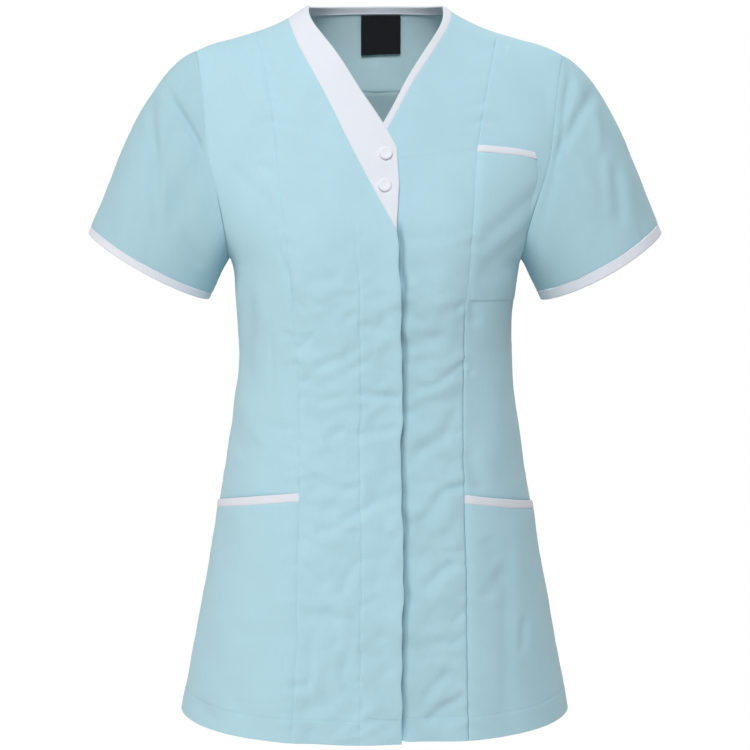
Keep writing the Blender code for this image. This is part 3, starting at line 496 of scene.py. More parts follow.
def patch(inner, outer, last_row, u, row, top=None, low=None):
    """Angles and heights of a panel: u runs from its inner seam to its outer, row runs down."""
    v = row / last_row
    parts = []
    for pick in (lambda line: across_of(*line), lambda line: line[1]):
        near, far = pick(inner(row)), pick(outer(row))
        parts.append(near * (1 - u) + far * u)
    for index, ends, fade in ((0.0, top, (1 - v) ** 6), (float(last_row), low, v**3)):
        if ends is None:
            continue
        start, stop = inner(np.array(index)), outer(np.array(index))
        wanted = ends(u)
        parts[0] = parts[0] + (wanted[0] - across_of(*start) * (1 - u) - across_of(*stop) * u) * fade
        parts[1] = parts[1] + (wanted[1] - start[1] * (1 - u) - stop[1] * u) * fade
    return parts


def hem_line(across_inner, across_outer, u):
    across = across_inner * (1 - u) + across_outer * u
    return across, hem_z(across)


def front_patch(inner, outer, outer_low, u, row):
    """A front panel from its shoulder line to its hem."""
    x0, x1 = inner(np.array(0.0))[0], outer(np.array(0.0))[0]
    inner_low = across_of(inner(np.array(float(HEM_ROW)))[0], HEM_FRONT_Z)
    return patch(
        inner,
        outer,
        HEM_ROW,
        u,
        row,
        lambda u: shoulder_top(x0, x1, u),
        lambda u: hem_line(inner_low, outer_low, u),
    )


def centre_patch(side, edge, u, row):
    seam = partial(princess_seam, side)
    low = across_of(seam(np.array(float(HEM_ROW)))[0], HEM_FRONT_Z)
    return front_patch(edge, seam, low, u, row)


def centre_right(u, row):
    return centre_patch("right", band_seam, u, row)


UNDERLAP_RISE, UNDERLAP_RISE_POWER = 0.0022, 8


def centre_left(u, row):
    """The underlap ends a little higher than the overlap that hides it."""
    across, z = centre_patch("left", left_neck_seam, u, row)
    return across, z + UNDERLAP_RISE * (row / HEM_ROW) ** UNDERLAP_RISE_POWER * (1 - u)


def side_front(side):
    inner, outer = partial(princess_seam, side), partial(outer_seam, side)
    return partial(front_patch, inner, outer, SIGN[side] * np.pi / 2)


BACK_NECK_Z = -0.0004
BACK_ROW_POWER = 0.79


def back_middle(row):
    top = BACK_NECK_Z - BINDING_WIDTH
    z = top + (UNDERARM_Z - top) * armhole_share(row) ** BACK_ROW_POWER
    z = z + (HEM_FRONT_Z - UNDERARM_Z) * skirt_share(row)
    return 0 * z, z


def whole_back(u, row):
    """u runs from -1 at the wearer's right armhole to 1 at the left."""
    halves = []
    for side, share in (("right", np.maximum(-u, 0)), ("left", np.maximum(u, 0))):
        tip_x = outer_seam(side, np.array(0.0))[0]

        def top(s, tip_x=tip_x):
            x = tip_x * s
            z = np.minimum(shoulder_z(np.abs(x)), BACK_NECK_Z - BINDING_WIDTH)
            return across_of(x, z), z

        def low(s, side=side):
            return hem_line(0, SIGN[side] * np.pi / 2, s)

        halves.append(patch(back_middle, partial(outer_seam, side), HEM_ROW, share, row, top, low))
    right, left = halves
    return [np.where(u < 0, r, l) for r, l in zip(right, left)]


top_left = whole_back(np.array(1.0), np.array(0.0))
print("back's left shoulder tip: angle and z", *(round(float(value), 4) for value in top_left))

# %% [markdown]
# ## Folds
#
# Filled cloth hangs in a few broad folds from where it is held: the bust, the armholes and the
# waist. A fold is a soft ridge between two points, added to the form itself, so every piece
# that lies there takes it. The back isn't seen in the photograph and gets similar ones.

# %% Folds of the form
Fold = namedtuple("Fold", "face x0 z0 x1 z1 height width")
FOLDS = [
    Fold("front", -0.126, -0.262, -0.090, -0.335, 0.0015, 0.013),
    Fold("front", 0.130, -0.255, 0.098, -0.330, 0.0012, 0.013),
    Fold("front", -0.128, -0.380, -0.110, -0.470, 0.0018, 0.015),
    Fold("front", 0.124, -0.350, 0.112, -0.450, 0.0018, 0.014),
    Fold("back", -0.105, -0.300, -0.030, -0.345, 0.0022, 0.015),
    Fold("back", 0.112, -0.310, 0.040, -0.352, 0.0020, 0.014),
    Fold("back", -0.060, -0.375, 0.045, -0.388, 0.0018, 0.014),
    Fold("back", -0.125, -0.170, -0.095, -0.270, 0.0025, 0.016),
    Fold("back", 0.128, -0.165, 0.100, -0.275, 0.0025, 0.016),
]


def along_and_aside(mark, x, z):
    """How far along a mark each point is, 0 to 1, and how far beside it in metres."""
    run_x, run_z = mark.x1 - mark.x0, mark.z1 - mark.z0
    length = np.hypot(run_x, run_z)
    along = ((x - mark.x0) * run_x + (z - mark.z0) * run_z) / length**2
    return along, ((x - mark.x0) * run_z - (z - mark.z0) * run_x) / length


END_STEEPNESS, FOLD_PAST_END, CREASE_PAST_END = 3, 0.5, 0.6


def faded_ends(along, past_end):
    """1 along most of a mark, easing to 0 a little past both of its ends."""
    return ease(along * END_STEEPNESS + past_end) * ease((1 - along) * END_STEEPNESS + past_end)


def fold_height(face, x, z):
    total = np.zeros_like(x)
    for fold in FOLDS:
        if fold.face == face:
            along, aside = along_and_aside(fold, x, z)
            ends = faded_ends(along, FOLD_PAST_END)
            total = total + fold.height * ends * np.exp(-((aside / fold.width) ** 2))
    return total


def form_points(face, across, z):
    x = half_width(z) * np.sin(across)
    y = form_y(face, x, z)
    normals = form_normal(face, x, y, z)
    return np.stack([x, y, z], axis=-1) + normals * fold_height(face, x, z)[..., None], normals


print("folds of the form:", len(FOLDS))

# %% [markdown]
# ## Creases
#
# A crease is a sharper trough with a small ridge on each side, as cloth makes where a seam or a
# row of stitches holds it short. They could be painted as bump, but a bump has no outline and
# no shadow. They are pressed into the mesh instead, each where the photograph shows one.

# %% Creases, in millimetres
Crease = namedtuple("Crease", "x0 z0 x1 z1 depth width")


def creases(*rows):
    return [Crease(*(value / 1000 for value in row)) for row in rows]


CREASE_GAIN, CREASE_SPREAD, CREASE_RIDGE = 2.1, 1.18, 0.8

CREASES = {
    "front_centre_right": creases(
        (-19, -218, -28, -213, 0.3, 2),
        (-18, -222, -26, -226, 0.35, 2),
        (-16, -224, -11, -231, 0.35, 2),
        (-17, -220, -9, -216, 0.3, 2),
        (-67, -267, -35, -258, 0.9, 9),
        (-80, -281, -66, -289, 0.35, 3),
        (-66, -289, -29, -273, 0.3, 4),
        (-74, -330, -60, -314, 0.7, 4),
        (-59, -347, -27, -336, 0.9, 6),
        (-74, -361, -64, -359, 0.6, 4),
        (-74, -380, -67, -374, 0.5, 4),
        (-55, -380, -28, -373, 0.8, 5),
        (-16, -373, 24, -374, 1.1, 5),
        (-47, -418, -36, -407, 0.9, 6),
        (-36, -407, -20, -410, 0.9, 4),
        (-15, -411, 24, -405, 0.7, 5),
        (-74, -458, -55, -452, 0.9, 4),
        (-59, -460, -16, -463, 0.9, 6),
        (-74, -480, -24, -482, 0.4, 6),
        (-36, -496, 1, -475, 0.7, 5),
        (-57, -505, -38, -500, 1.0, 6),
        (-38, -500, -17, -506, 0.9, 5),
        (-74, -511, -29, -530, 0.8, 6),
        (-70, -538, -50, -557, 0.7, 5),
        (-17, -533, -30, -550, 0.7, 5),
        (-30, -550, -33, -565, 0.6, 6),
        (-69, -584, -40, -583, 0.9, 9),
        (-43, -581, -34, -622, 0.6, 8),
        (-40, -586, -17, -587, 0.8, 6),
        (-61, -599, -65, -653, 0.6, 6),
        (-82, -656, -63, -653, 0.8, 5),
        (-22, -607, -32, -638, 0.6, 6),
        (-33, -638, -17, -650, 0.5, 5),
        (-32, -656, -17, -659, 0.7, 5),
        (-75, -679, -39, -670, 0.6, 8),
        (-50, -640, -46, -672, 0.6, 7),
        (-15, -623, 9, -619, 0.5, 7),
        (-15, -509, 22, -509, 0.4, 8),
        (-15, -321, 3, -319, 0.4, 5),
        (-15, -304, -5, -303, 0.5, 4),
        (-30, -230, -17, -229, 0.4, 2.5),
        (-30, -237, -17, -235, 0.4, 2.5),
        (-28, -220, -12, -219, 0.35, 2.5),
        (-29, -264, -17, -263, 0.45, 4),
        (-28, -279, -17, -277, 0.4, 4),
        (-28, -296, -17, -293, 0.4, 4),
        (-29, -331, -17, -333, 0.4, 4),
        (-27, -348, -17, -346, 0.5, 4),
        (-14, -388, -3, -384, 0.4, 4),
        (-28, -450, -17, -448, 0.4, 4),
        (-29, -227, -43, -243, 0.4, 9),
    ),
    "front_centre_left": creases(
        (29, -325, 69, -314, 0.7, 8),
        (28, -375, 55, -365, 0.5, 5),
        (58, -364, 86, -344, 0.9, 5),
        (42, -427, 69, -416, 0.9, 8),
        (69, -416, 81, -377, 0.7, 8),
        (78, -412, 86, -408, 0.5, 4),
        (59, -476, 67, -465, 1.0, 6),
        (67, -465, 86, -462, 1.1, 5),
        (59, -476, 45, -493, 0.8, 7),
        (29, -454, 55, -460, 0.5, 7),
        (68, -525, 87, -525, 0.8, 4),
        (49, -562, 60, -546, 1.0, 7),
        (60, -546, 77, -536, 1.0, 6),
        (88, -582, 75, -594, 0.6, 4),
        (89, -605, 75, -615, 0.6, 4),
        (48, -664, 61, -653, 1.0, 6),
        (61, -653, 73, -642, 1.0, 6),
        (53, -686, 73, -672, 1.0, 6),
        (73, -672, 88, -663, 1.0, 5),
        (78, -290, 87, -284, 0.7, 4),
        (79, -357, 87, -354, 0.5, 3),
        (30, -249, 62, -245, 0.35, 8),
        (29, -220, 81, -219, 0.35, 7),
    ),
    "front_side_left": creases(
        (90, -354, 96, -351, 0.6, 4),
        (93, -284, 98, -304, 0.9, 6),
        (91, -430, 103, -466, 0.9, 8),
        (117, -38, 129, -42, 0.5, 4),
    ),
    "chest_pocket": creases(
        (102, -226, 156, -182, 0.8, 9),
        (106, -250, 152, -214, 0.5, 8),
        (100, -262, 146, -246, 0.4, 9),
    ),
    "front_side_right": creases(
        (-92, -233, -83, -257, 0.7, 3),
        (-83, -257, -79, -293, 0.8, 3.5),
        (-101, -314, -100, -367, 0.4, 3),
        (-122, -270, -127, -355, 0.9, 8),
        (-117, -422, -133, -436, 0.8, 9),
        (-104, -408, -75, -406, 0.5, 3),
        (-89, -427, -75, -432, 0.6, 4),
        (-89, -460, -75, -461, 0.5, 4),
        (-92, -314, -82, -315, 0.5, 4),
        (-112, -150, -100, -160, 0.6, 5),
        (-137, -156, -119, -175, 0.5, 6),
        (-109, -179, -98, -202, 0.5, 6),
    ),
    "lower_pocket_left": creases(
        (109, -516, 118, -535, 0.8, 8),
        (106, -572, 124, -550, 0.7, 8),
        (146, -598, 144, -628, 0.8, 5),
        (127, -519, 129, -693, 0.7, 9),
    ),
    "lower_pocket_right": creases(
        (-136, -609, -77, -604, 0.4, 8),
        (-136, -675, -128, -689, 0.6, 7),
        (-174, -684, -158, -701, 0.7, 8),
    ),
    "back_body": creases(
        (-118, -300, -60, -338, 1.3, 6),
        (-96, -352, -34, -366, 1.4, 6),
        (-70, -392, 6, -398, 1.2, 6),
        (22, -372, 92, -356, 1.4, 6),
        (58, -335, 116, -306, 1.3, 6),
        (12, -412, 70, -420, 1.1, 6),
        (-120, -404, -84, -418, 1.2, 6),
        (88, -402, 126, -414, 1.2, 6),
        (-84, -470, -92, -600, 1.9, 9),
        (-22, -500, -26, -640, 2.0, 10),
        (46, -480, 52, -630, 1.9, 9),
        (104, -500, 118, -660, 2.2, 10),
        (-128, -540, -142, -668, 2.0, 9),
        (8, -600, 10, -690, 0.6, 10),
        (-96, -196, -60, -240, 0.7, 8),
        (96, -190, 64, -238, 0.7, 8),
        (-30, -150, -34, -230, 0.5, 11),
        (34, -156, 30, -236, 0.5, 11),
    ),
    "sleeve_right": creases(
        (-200, -87, -167, -138, 1.8, 5),
        (-191, -83, -158, -134, -0.9, 6),
        (-222, -128, -186, -196, 0.9, 14),
        (-167, -138, -156, -205, 0.7, 8),
        (-219, -98, -213, -212, 1.1, 6),
        (-208, -120, -203, -198, -0.5, 6),
        (-208, -178, -198, -216, 0.5, 8),
        (-186, -225, -172, -252, 0.5, 7),
    ),
    "sleeve_left": creases(
        (191, -70, 180, -139, 0.9, 4),
        (182, -64, 174, -139, -0.5, 4),
        (212, -88, 176, -147, 1.2, 6),
        (201, -76, 182, -120, -0.6, 6),
        (176, -147, 157, -237, 0.6, 8),
        (218, -98, 219, -140, -0.5, 6),
        (226, -150, 228, -200, -0.5, 6),
        (236, -158, 241, -208, 0.8, 7),
    ),
    "sleeve_right_back": creases(
        (-200, -90, -170, -150, 0.9, 7),
        (-222, -110, -218, -200, 0.7, 9),
        (-180, -180, -168, -240, 0.6, 8),
    ),
    "sleeve_left_back": creases(
        (204, -86, 172, -148, 0.9, 7),
        (226, -112, 224, -206, 0.7, 9),
        (184, -176, 170, -236, 0.6, 8),
    ),
    "back_yoke": creases(
        (0, -60, 1, -88, 0.5, 7),
        (-120, -50, -96, -84, 0.4, 8),
        (118, -52, 98, -86, 0.4, 8),
    ),
}


def crease_depth(name, x, z):
    total = np.zeros_like(x)
    for crease in CREASES.get(name, ()):
        along, aside = along_and_aside(crease, x, z)
        ends = faded_ends(along, CREASE_PAST_END)
        across = (aside / (CREASE_SPREAD * crease.width)) ** 2
        profile = (1 - CREASE_RIDGE * across) * np.exp(-across)
        total = total - CREASE_GAIN * crease.depth * ends * profile
    return total


print("creases:", sum(len(rows) for rows in CREASES.values()), "on", len(CREASES), "pieces")

# %% [markdown]
# ## Puckers and slackness
#
# No sewn cloth is perfectly smooth, so two effects run over all of it. Puckers are small waves
# along a seam, made from three wavelengths so that they never repeat. Slackness is the slow
# rise and fall of cloth between its seams.

# %% Puckers and slackness
PUCKER_WAVES = ((0.0093, 0.45), (0.0147, 0.8), (0.0236, 1.0))
PUCKER_REACH, PUCKER_LEAN, PUCKER_SWELL = 0.0105, 0.25, 0.113


def pucker(run, away, seed=1.3):
    """Waves along a seam that die out with the distance from it. They lean a little. Both pieces
    at a seam take the same run and seed, so that their edges rise and fall together."""
    turns = 2 * np.pi * (run + PUCKER_LEAN * away)
    waves = sum(share * np.sin(turns / step + seed * 7 * share) for step, share in PUCKER_WAVES)
    slow = 0.55 + 0.45 * np.sin(turns / PUCKER_SWELL + seed)
    return waves / 2 * slow * np.exp(-away / PUCKER_REACH)


NOISE_CELLS = 64


def soft_noise(x, z, seed):
    """A smooth uneven height from -1 to 1, with one bump about every cell."""
    values = np.random.default_rng(seed).uniform(-1, 1, (NOISE_CELLS, NOISE_CELLS))
    i, j = np.floor(x).astype(int), np.floor(z).astype(int)
    s, t = ease(x - i), ease(z - j)

    def between(a):
        upper, lower = (values[(i + a) % NOISE_CELLS, (j + b) % NOISE_CELLS] for b in (0, 1))
        return upper * (1 - t) + lower * t

    return between(0) * (1 - s) + between(1) * s


Crumple = namedtuple("Crumple", "wide high lean share")
CRUMPLES = (
    Crumple(0.030, 0.019, 0.30, 0.50),
    Crumple(0.016, 0.011, -0.25, 0.33),
    Crumple(0.009, 0.007, 0.15, 0.19),
)


def crumpled(x, z):
    """Worn-in unevenness that runs more across the cloth than down it."""
    return sum(
        crumple.share * soft_noise(x / crumple.wide, (z + crumple.lean * x) / crumple.high, seed)
        for seed, crumple in enumerate(CRUMPLES)
    )


Slack = namedtuple("Slack", "wide high shift share")
SLACK_WAVES = (Slack(0.083, 0.140, 1.0, 1.0), Slack(-0.170, 0.095, 2.1, 1.0), Slack(0.051, 0.064, 3.3, 0.7))


def slackness(x, z, seed=1.7):
    return sum(
        wave.share * np.sin(2 * np.pi * (x / wave.wide + z / wave.high) + wave.shift * seed)
        for wave in SLACK_WAVES
    )


print("pucker beside a seam, first wave:", round(float(pucker(np.array(0.0), 0.0)), 3))

# %% [markdown]
# ## From a patch to a piece of cloth
#
# A piece is two layers of points: its outer face, and the same points a cloth's thickness
# inside. Close to each edge the columns crowd together, so that the edge can roll over and show
# the soft line of a seam. The distances from the edges are kept, because the stitches need them.

# %% Cloth pieces
EDGE_STEPS = np.array([0, 0.00015, 0.0005, 0.0010, 0.0018, 0.0030])
STITCH_STEPS = np.array([-0.0016, -0.0007, 0, 0.0007, 0.0016])
ROW_HEIGHT = 0.0254
HEM_TURN = 0.0235
HEM_ROWS = 9
NARROW_SHARE, STITCH_CLEARANCE, WIDTH_SAMPLES = 0.42, 0.006, 15
Cloth = namedtuple("Cloth", "points normals left right top low")


def run_length(points, axis):
    """How far each point is from the first one of its row or column, along the cloth."""
    steps = np.linalg.norm(np.diff(points, axis=axis), axis=-1)
    first = np.zeros_like(np.take(steps, [0], axis=axis))
    return np.concatenate([first, np.cumsum(steps, axis=axis)], axis=axis)


def crowded(length, count, stitch=None, before=0):
    """Positions from 0 to 1 on a line of this length: close at both ends and at a stitch line.
    The stitch line is given by its distance from the start and the positions before it."""
    ends = EDGE_STEPS * min(1, NARROW_SHARE * length / EDGE_STEPS[-1]) / length
    if stitch is None:
        middle = np.linspace(ends[-1], 1 - ends[-1], count)
    else:
        close = min(stitch / length, 1 - STITCH_CLEARANCE / length) + STITCH_STEPS / length
        upper = np.linspace(ends[-1], close[0], before, endpoint=False)
        lower = np.linspace(close[-1], 1 - ends[-1], count - before + 1)[1:]
        middle = np.concatenate([upper, close, lower])
    return np.concatenate([ends[:-1], middle, 1 - ends[:-1][::-1]])


def body_rows(first, last, count, hemmed=True):
    """Row numbers of a panel of the body, close together at its stitched hem."""
    length = ROW_HEIGHT * (last - first)
    stitch = length - HEM_TURN if hemmed else None
    return first + (last - first) * crowded(length, count, stitch, count - HEM_ROWS)


def columns_for(face, grid, rows, count, stitch=None, first=0.0, last=1.0):
    """Column positions for every row, from the real width of the panel there."""
    u = first + (last - first) * np.linspace(0, 1, WIDTH_SAMPLES)[None, :] + 0 * rows[:, None]
    points, _ = form_points(face, *grid(u, rows[:, None] + 0 * u))
    widths = run_length(points, 1)[:, -1]
    before = int(count * stitch / widths[-1]) if stitch else 0
    shares = np.stack([crowded(width, count, stitch, before) for width in widths])
    return first + (last - first) * shares


def rolled(distance, radius):
    """How far an edge turns down within one radius of its end."""
    inside = np.clip(1 - distance / radius, 0, 1)
    return radius * (1 - np.sqrt(np.maximum(1 - inside**2, 0)))


SEAM_SINK = 0.00035
SEAM_WIDTH = 0.0012
SEAM_PUCKER = 0.00105
SEAM_ROLL = 0.00022
SLACK = 0.00030
CLOTH_THICKNESS = 0.0010
SEAM_SPREAD = 0.00005
MOST_ROLL = 0.9


def edge_relief(cloth, z, kinds, thickness, loose):
    """What every edge does to the cloth near it. Kinds name the left, right, top and low edges."""
    total = np.zeros_like(cloth.left)
    runs = {"left": z, "right": z, "top": cloth.left, "low": cloth.left}
    for edge, kind in zip(Cloth._fields[2:], kinds):
        away = getattr(cloth, edge)
        if kind != "fold":
            total = total - SEAM_SINK * np.exp(-((away / SEAM_WIDTH) ** 2))
        if kind == "seam":
            total = total + loose * SEAM_PUCKER * pucker(runs[edge], away)
        total = total - rolled(away, roll_of(kind, thickness))
    return total


def roll_of(kind, thickness):
    """A free fold turns down by half its thickness, a sewn edge hardly at all."""
    return thickness / 2 if kind == "fold" else SEAM_ROLL


def measured(points, normals):
    """A cloth record with the distance of every point from each edge."""
    across, down = run_length(points, 1), run_length(points, 0)
    return Cloth(points, normals, across, across[:, -1:] - across, down, down[-1:] - down)


def spread(points):
    """Moves the four edges out a hair, so that no light shows between neighbours."""
    points = points.copy()
    points[0] -= unit(points[4] - points[0]) * SEAM_SPREAD
    points[-1] -= unit(points[-5] - points[-1]) * SEAM_SPREAD
    points[:, 0] -= unit(points[:, 4] - points[:, 0]) * SEAM_SPREAD
    points[:, -1] -= unit(points[:, -5] - points[:, -1]) * SEAM_SPREAD
    return points


def inner_face(outer, normals, thickness, rim):
    """The cloth's other face. It comes closer where the outer face rolls over an edge."""
    return outer - normals * (thickness - np.minimum(2 * rim, thickness * MOST_ROLL))[..., None]


print("narrowest and widest step beside an edge, mm:", *(1000 * np.diff(EDGE_STEPS)[[0, -1]]).round(2))


# %% [markdown]
# ## Meshes
#
# A modeller often gives cloth its thickness with a Solidify modifier. Here both faces and the
# rim between them are made at once, which keeps the rolled edges as they were worked out.
# The mesh keeps a map called "cut": where each point lay on the flat cloth, in metres. The weave
# is drawn on that map, so its threads run straight down each panel however the panel bends.


# %% Meshes
SHARP_ANGLE = np.radians(60)
# The inside of the back yoke takes painted light, the inside of the back below it painted shade.
INSIDES_PAINTED_LIGHT_AND_SHADE = {"back_yoke_cloth": "blue_twill_yoke_inside_painted_light", "back_body_cloth": "blue_twill_shade"}


def grid_mesh(name, outer, inner, cut, material, flip, closed=False):
    """A shell between two equal grids. A closed one wraps round like a sleeve."""
    rows, cols = outer.shape[:2]
    index = np.arange(rows * cols).reshape(rows, cols)
    if closed:
        index = np.concatenate([index, index[:, :1]], axis=1)
    corner = (slice(None, -1), slice(None, -1)), (slice(None, -1), slice(1, None))
    corner = corner + ((slice(1, None), slice(1, None)), (slice(1, None), slice(None, -1)))
    outside = np.stack([index[c] for c in corner], -1).reshape(-1, 4)
    maps = np.stack([cut[c] for c in corner], -2).reshape(-1, 4, 2)
    inside = outside[:, ::-1] + rows * cols
    rim = [(index[0], cut[0]), (index[-1][::-1], cut[-1][::-1])]
    if not closed:
        rim += [(index[:, -1], cut[:, -1]), (index[::-1, 0], cut[::-1, 0])]
    faces, uvs = [outside, inside], [maps, maps[:, ::-1]]
    for line, where in rim:
        here, there = line[:-1], line[1:]
        faces.append(np.stack([there, here, here + rows * cols, there + rows * cols], -1))
        uvs.append(np.stack([where[1:], where[:-1], where[:-1], where[1:]], -2))
    faces, uvs = np.concatenate(faces), np.concatenate(uvs)
    if flip:
        faces, uvs = faces[:, ::-1], uvs[:, ::-1]
    points = np.concatenate([outer.reshape(-1, 3), inner.reshape(-1, 3)])
    wrong_side = slice(len(outside), len(outside) + len(inside))
    return mesh_piece(name, points, faces, material, uvs, wrong_side)


def mesh_piece(name, points, faces, material, uvs=None, wrong_side=None):
    """A piece that rides on the tunic's one body. Some wrong sides take painted light, others painted
    shade.
    """
    mesh = bpy.data.meshes.new(name)
    mesh.from_pydata(points.tolist(), [], faces.tolist())
    if uvs is not None:
        layer = mesh.uv_layers.new(name="cut")
        layer.uv.foreach_set("vector", np.ascontiguousarray(uvs, np.float32).ravel())
    mesh.shade_smooth()
    mesh.set_sharp_from_angle(angle=SHARP_ANGLE)
    mesh.materials.append(material)
    if name in INSIDES_PAINTED_LIGHT_AND_SHADE:
        mesh.materials.append(bpy.data.materials[INSIDES_PAINTED_LIGHT_AND_SHADE[name]])
        sides = np.zeros(len(faces), np.int32)
        sides[wrong_side] = 1
        mesh.polygons.foreach_set("material_index", sides)
    piece = bpy.data.objects.new(name, mesh)
    bpy.context.scene.collection.objects.link(piece)
    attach(piece, "root")
    return piece


# Insides with painted light (the yoke) and painted shade (the back below it).
print("pieces with another finish inside:", ", ".join(INSIDES_PAINTED_LIGHT_AND_SHADE))

# %% [markdown]
# ## Weave and yarn
#
# The tunic is a plain-dyed polyester and cotton twill. Up close a twill shows fine diagonal
# ribs, and its colour varies a little from yarn to yarn. Both effects are wanted on the blue
# and on the white cloth, so each is a node group that every material places with its own values.

# %% Node groups
TWILL_SLANT, RIB_SHARE, THREAD_SHARE = 0.6, 0.3, 0.12
SLUBS_PER_METRE, STREAK_SCALE, CLOUDS_PER_METRE = 420.0, (900.0, 60.0, 1.0), 24.0


def new_group(name, inputs, outputs):
    group = bpy.data.node_groups.new(name, "ShaderNodeTree")
    for label, kind, value in inputs:
        socket = group.interface.new_socket(label, in_out="INPUT", socket_type=kind)
        if value is not None:
            socket.default_value = value
    for label, kind in outputs:
        group.interface.new_socket(label, in_out="OUTPUT", socket_type=kind)
    return group, group.nodes.new("NodeGroupInput"), group.nodes.new("NodeGroupOutput")


def maths(group, operation, a, b=None):
    node = group.nodes.new("ShaderNodeMath")
    node.operation = operation
    for socket, value in zip(node.inputs, (a, b)):
        if hasattr(value, "links"):
            group.links.new(value, socket)
        elif value is not None:
            socket.default_value = value
    return node.outputs[0]


def twill_group():
    """Diagonal ribs crossed by finer threads, as a height from 0 to 1."""
    inputs = [
        ("Cut", "NodeSocketVector", None),
        ("Ribs per metre", "NodeSocketFloat", 900.0),
        ("Unevenness", "NodeSocketFloat", 0.3),
    ]
    group, given, result = new_group("twill_weave", inputs, [("Height", "NodeSocketFloat")])
    apart = group.nodes.new("ShaderNodeSeparateXYZ")
    group.links.new(given.outputs["Cut"], apart.inputs[0])
    turns = maths(group, "MULTIPLY", given.outputs["Ribs per metre"], 2 * np.pi)
    drop = maths(group, "MULTIPLY", apart.outputs["Y"], TWILL_SLANT)
    slant = maths(group, "ADD", apart.outputs["X"], drop)
    rib = maths(group, "SINE", maths(group, "MULTIPLY", slant, turns))
    thread_turns = maths(group, "MULTIPLY", turns, 2.0)
    thread = maths(group, "SINE", maths(group, "MULTIPLY", apart.outputs["Y"], thread_turns))
    slub = group.nodes.new("ShaderNodeTexNoise")
    slub.inputs["Scale"].default_value = SLUBS_PER_METRE
    slub.inputs["Detail"].default_value = 3.0
    group.links.new(given.outputs["Cut"], slub.inputs["Vector"])
    ribs = maths(group, "MULTIPLY", rib, RIB_SHARE)
    woven = maths(group, "ADD", ribs, maths(group, "MULTIPLY", thread, THREAD_SHARE))
    uneven = maths(group, "MULTIPLY", slub.outputs[0], given.outputs["Unevenness"])
    total = maths(group, "ADD", maths(group, "ADD", woven, uneven), 0.5)
    group.links.new(total, result.inputs["Height"])
    return group


def yarn_group():
    """The dye takes a little differently from yarn to yarn and place to place."""
    inputs = [
        ("Cut", "NodeSocketVector", None),
        ("Colour", "NodeSocketColor", (0.5, 0.5, 0.5, 1)),
        ("Variation", "NodeSocketFloat", 0.05),
    ]
    group, given, result = new_group("yarn_colour", inputs, [("Colour", "NodeSocketColor")])
    stretch = group.nodes.new("ShaderNodeMapping")
    stretch.inputs["Scale"].default_value = STREAK_SCALE
    group.links.new(given.outputs["Cut"], stretch.inputs["Vector"])
    streak = group.nodes.new("ShaderNodeTexNoise")
    streak.inputs["Scale"].default_value = 1.0
    group.links.new(stretch.outputs[0], streak.inputs["Vector"])
    cloud = group.nodes.new("ShaderNodeTexNoise")
    cloud.inputs["Scale"].default_value = CLOUDS_PER_METRE
    group.links.new(given.outputs["Cut"], cloud.inputs["Vector"])
    both = maths(group, "ADD", streak.outputs[0], cloud.outputs[0])
    change = maths(group, "MULTIPLY", maths(group, "SUBTRACT", both, 1.0), given.outputs["Variation"])
    value = maths(group, "ADD", change, 1.0)
    tint = group.nodes.new("ShaderNodeHueSaturation")
    group.links.new(given.outputs["Colour"], tint.inputs["Color"])
    group.links.new(value, tint.inputs["Value"])
    group.links.new(tint.outputs[0], result.inputs["Colour"])
    return group


TWILL, YARN = twill_group(), yarn_group()
print("node groups:", TWILL.name, YARN.name)

# %% [markdown]
# ## Finishes
#
# Every cloth and thread is the same kind of matt, slightly furry surface, so one function makes
# them all from a row of a table. The sleeves' cloth is painted darker than the body's, as painted
# shade. Inside the back, the yoke is painted paler and the back below it darker: painted light
# and painted shade, as they show in the open neck.

# %% Materials
Finish = namedtuple("Finish", "name colour roughness sheen ribs unevenness relief variation")
FINISHES = [
    Finish("blue_twill", (0.469, 0.716, 0.803), 0.88, 0.10, 1300, 0.5, 0.00005, 0.07),
    # Painted shade: the sleeves' cloth is darker than the body's, standing in for the shade on them.
    Finish("blue_twill_sleeves_painted_shade", (0.422, 0.644, 0.720), 0.88, 0.10, 1300, 0.5, 0.00005, 0.07),
    # Painted light on the inside of the yoke, and painted shade on the inside of the back below it.
    Finish("blue_twill_yoke_inside_painted_light", (0.580, 0.790, 0.840), 0.90, 0.10, 1300, 0.5, 0.00005, 0.07),
    Finish("blue_twill_shade", (0.380, 0.518, 0.552), 0.90, 0.10, 1300, 0.5, 0.00005, 0.07),
    Finish("white_twill", (0.800, 0.828, 0.885), 0.85, 0.10, 1300, 0.5, 0.00005, 0.03),
    Finish("black_weave", (0.012, 0.012, 0.014), 0.70, 0.05, 1800, 0.3, 0.00005, 0.30),
    Finish("blue_thread", (0.400, 0.632, 0.716), 0.60, 0.20, 1500, 0.2, 0.00004, 0.05),
    Finish("white_thread", (0.780, 0.805, 0.860), 0.60, 0.20, 1500, 0.2, 0.00004, 0.03),
]


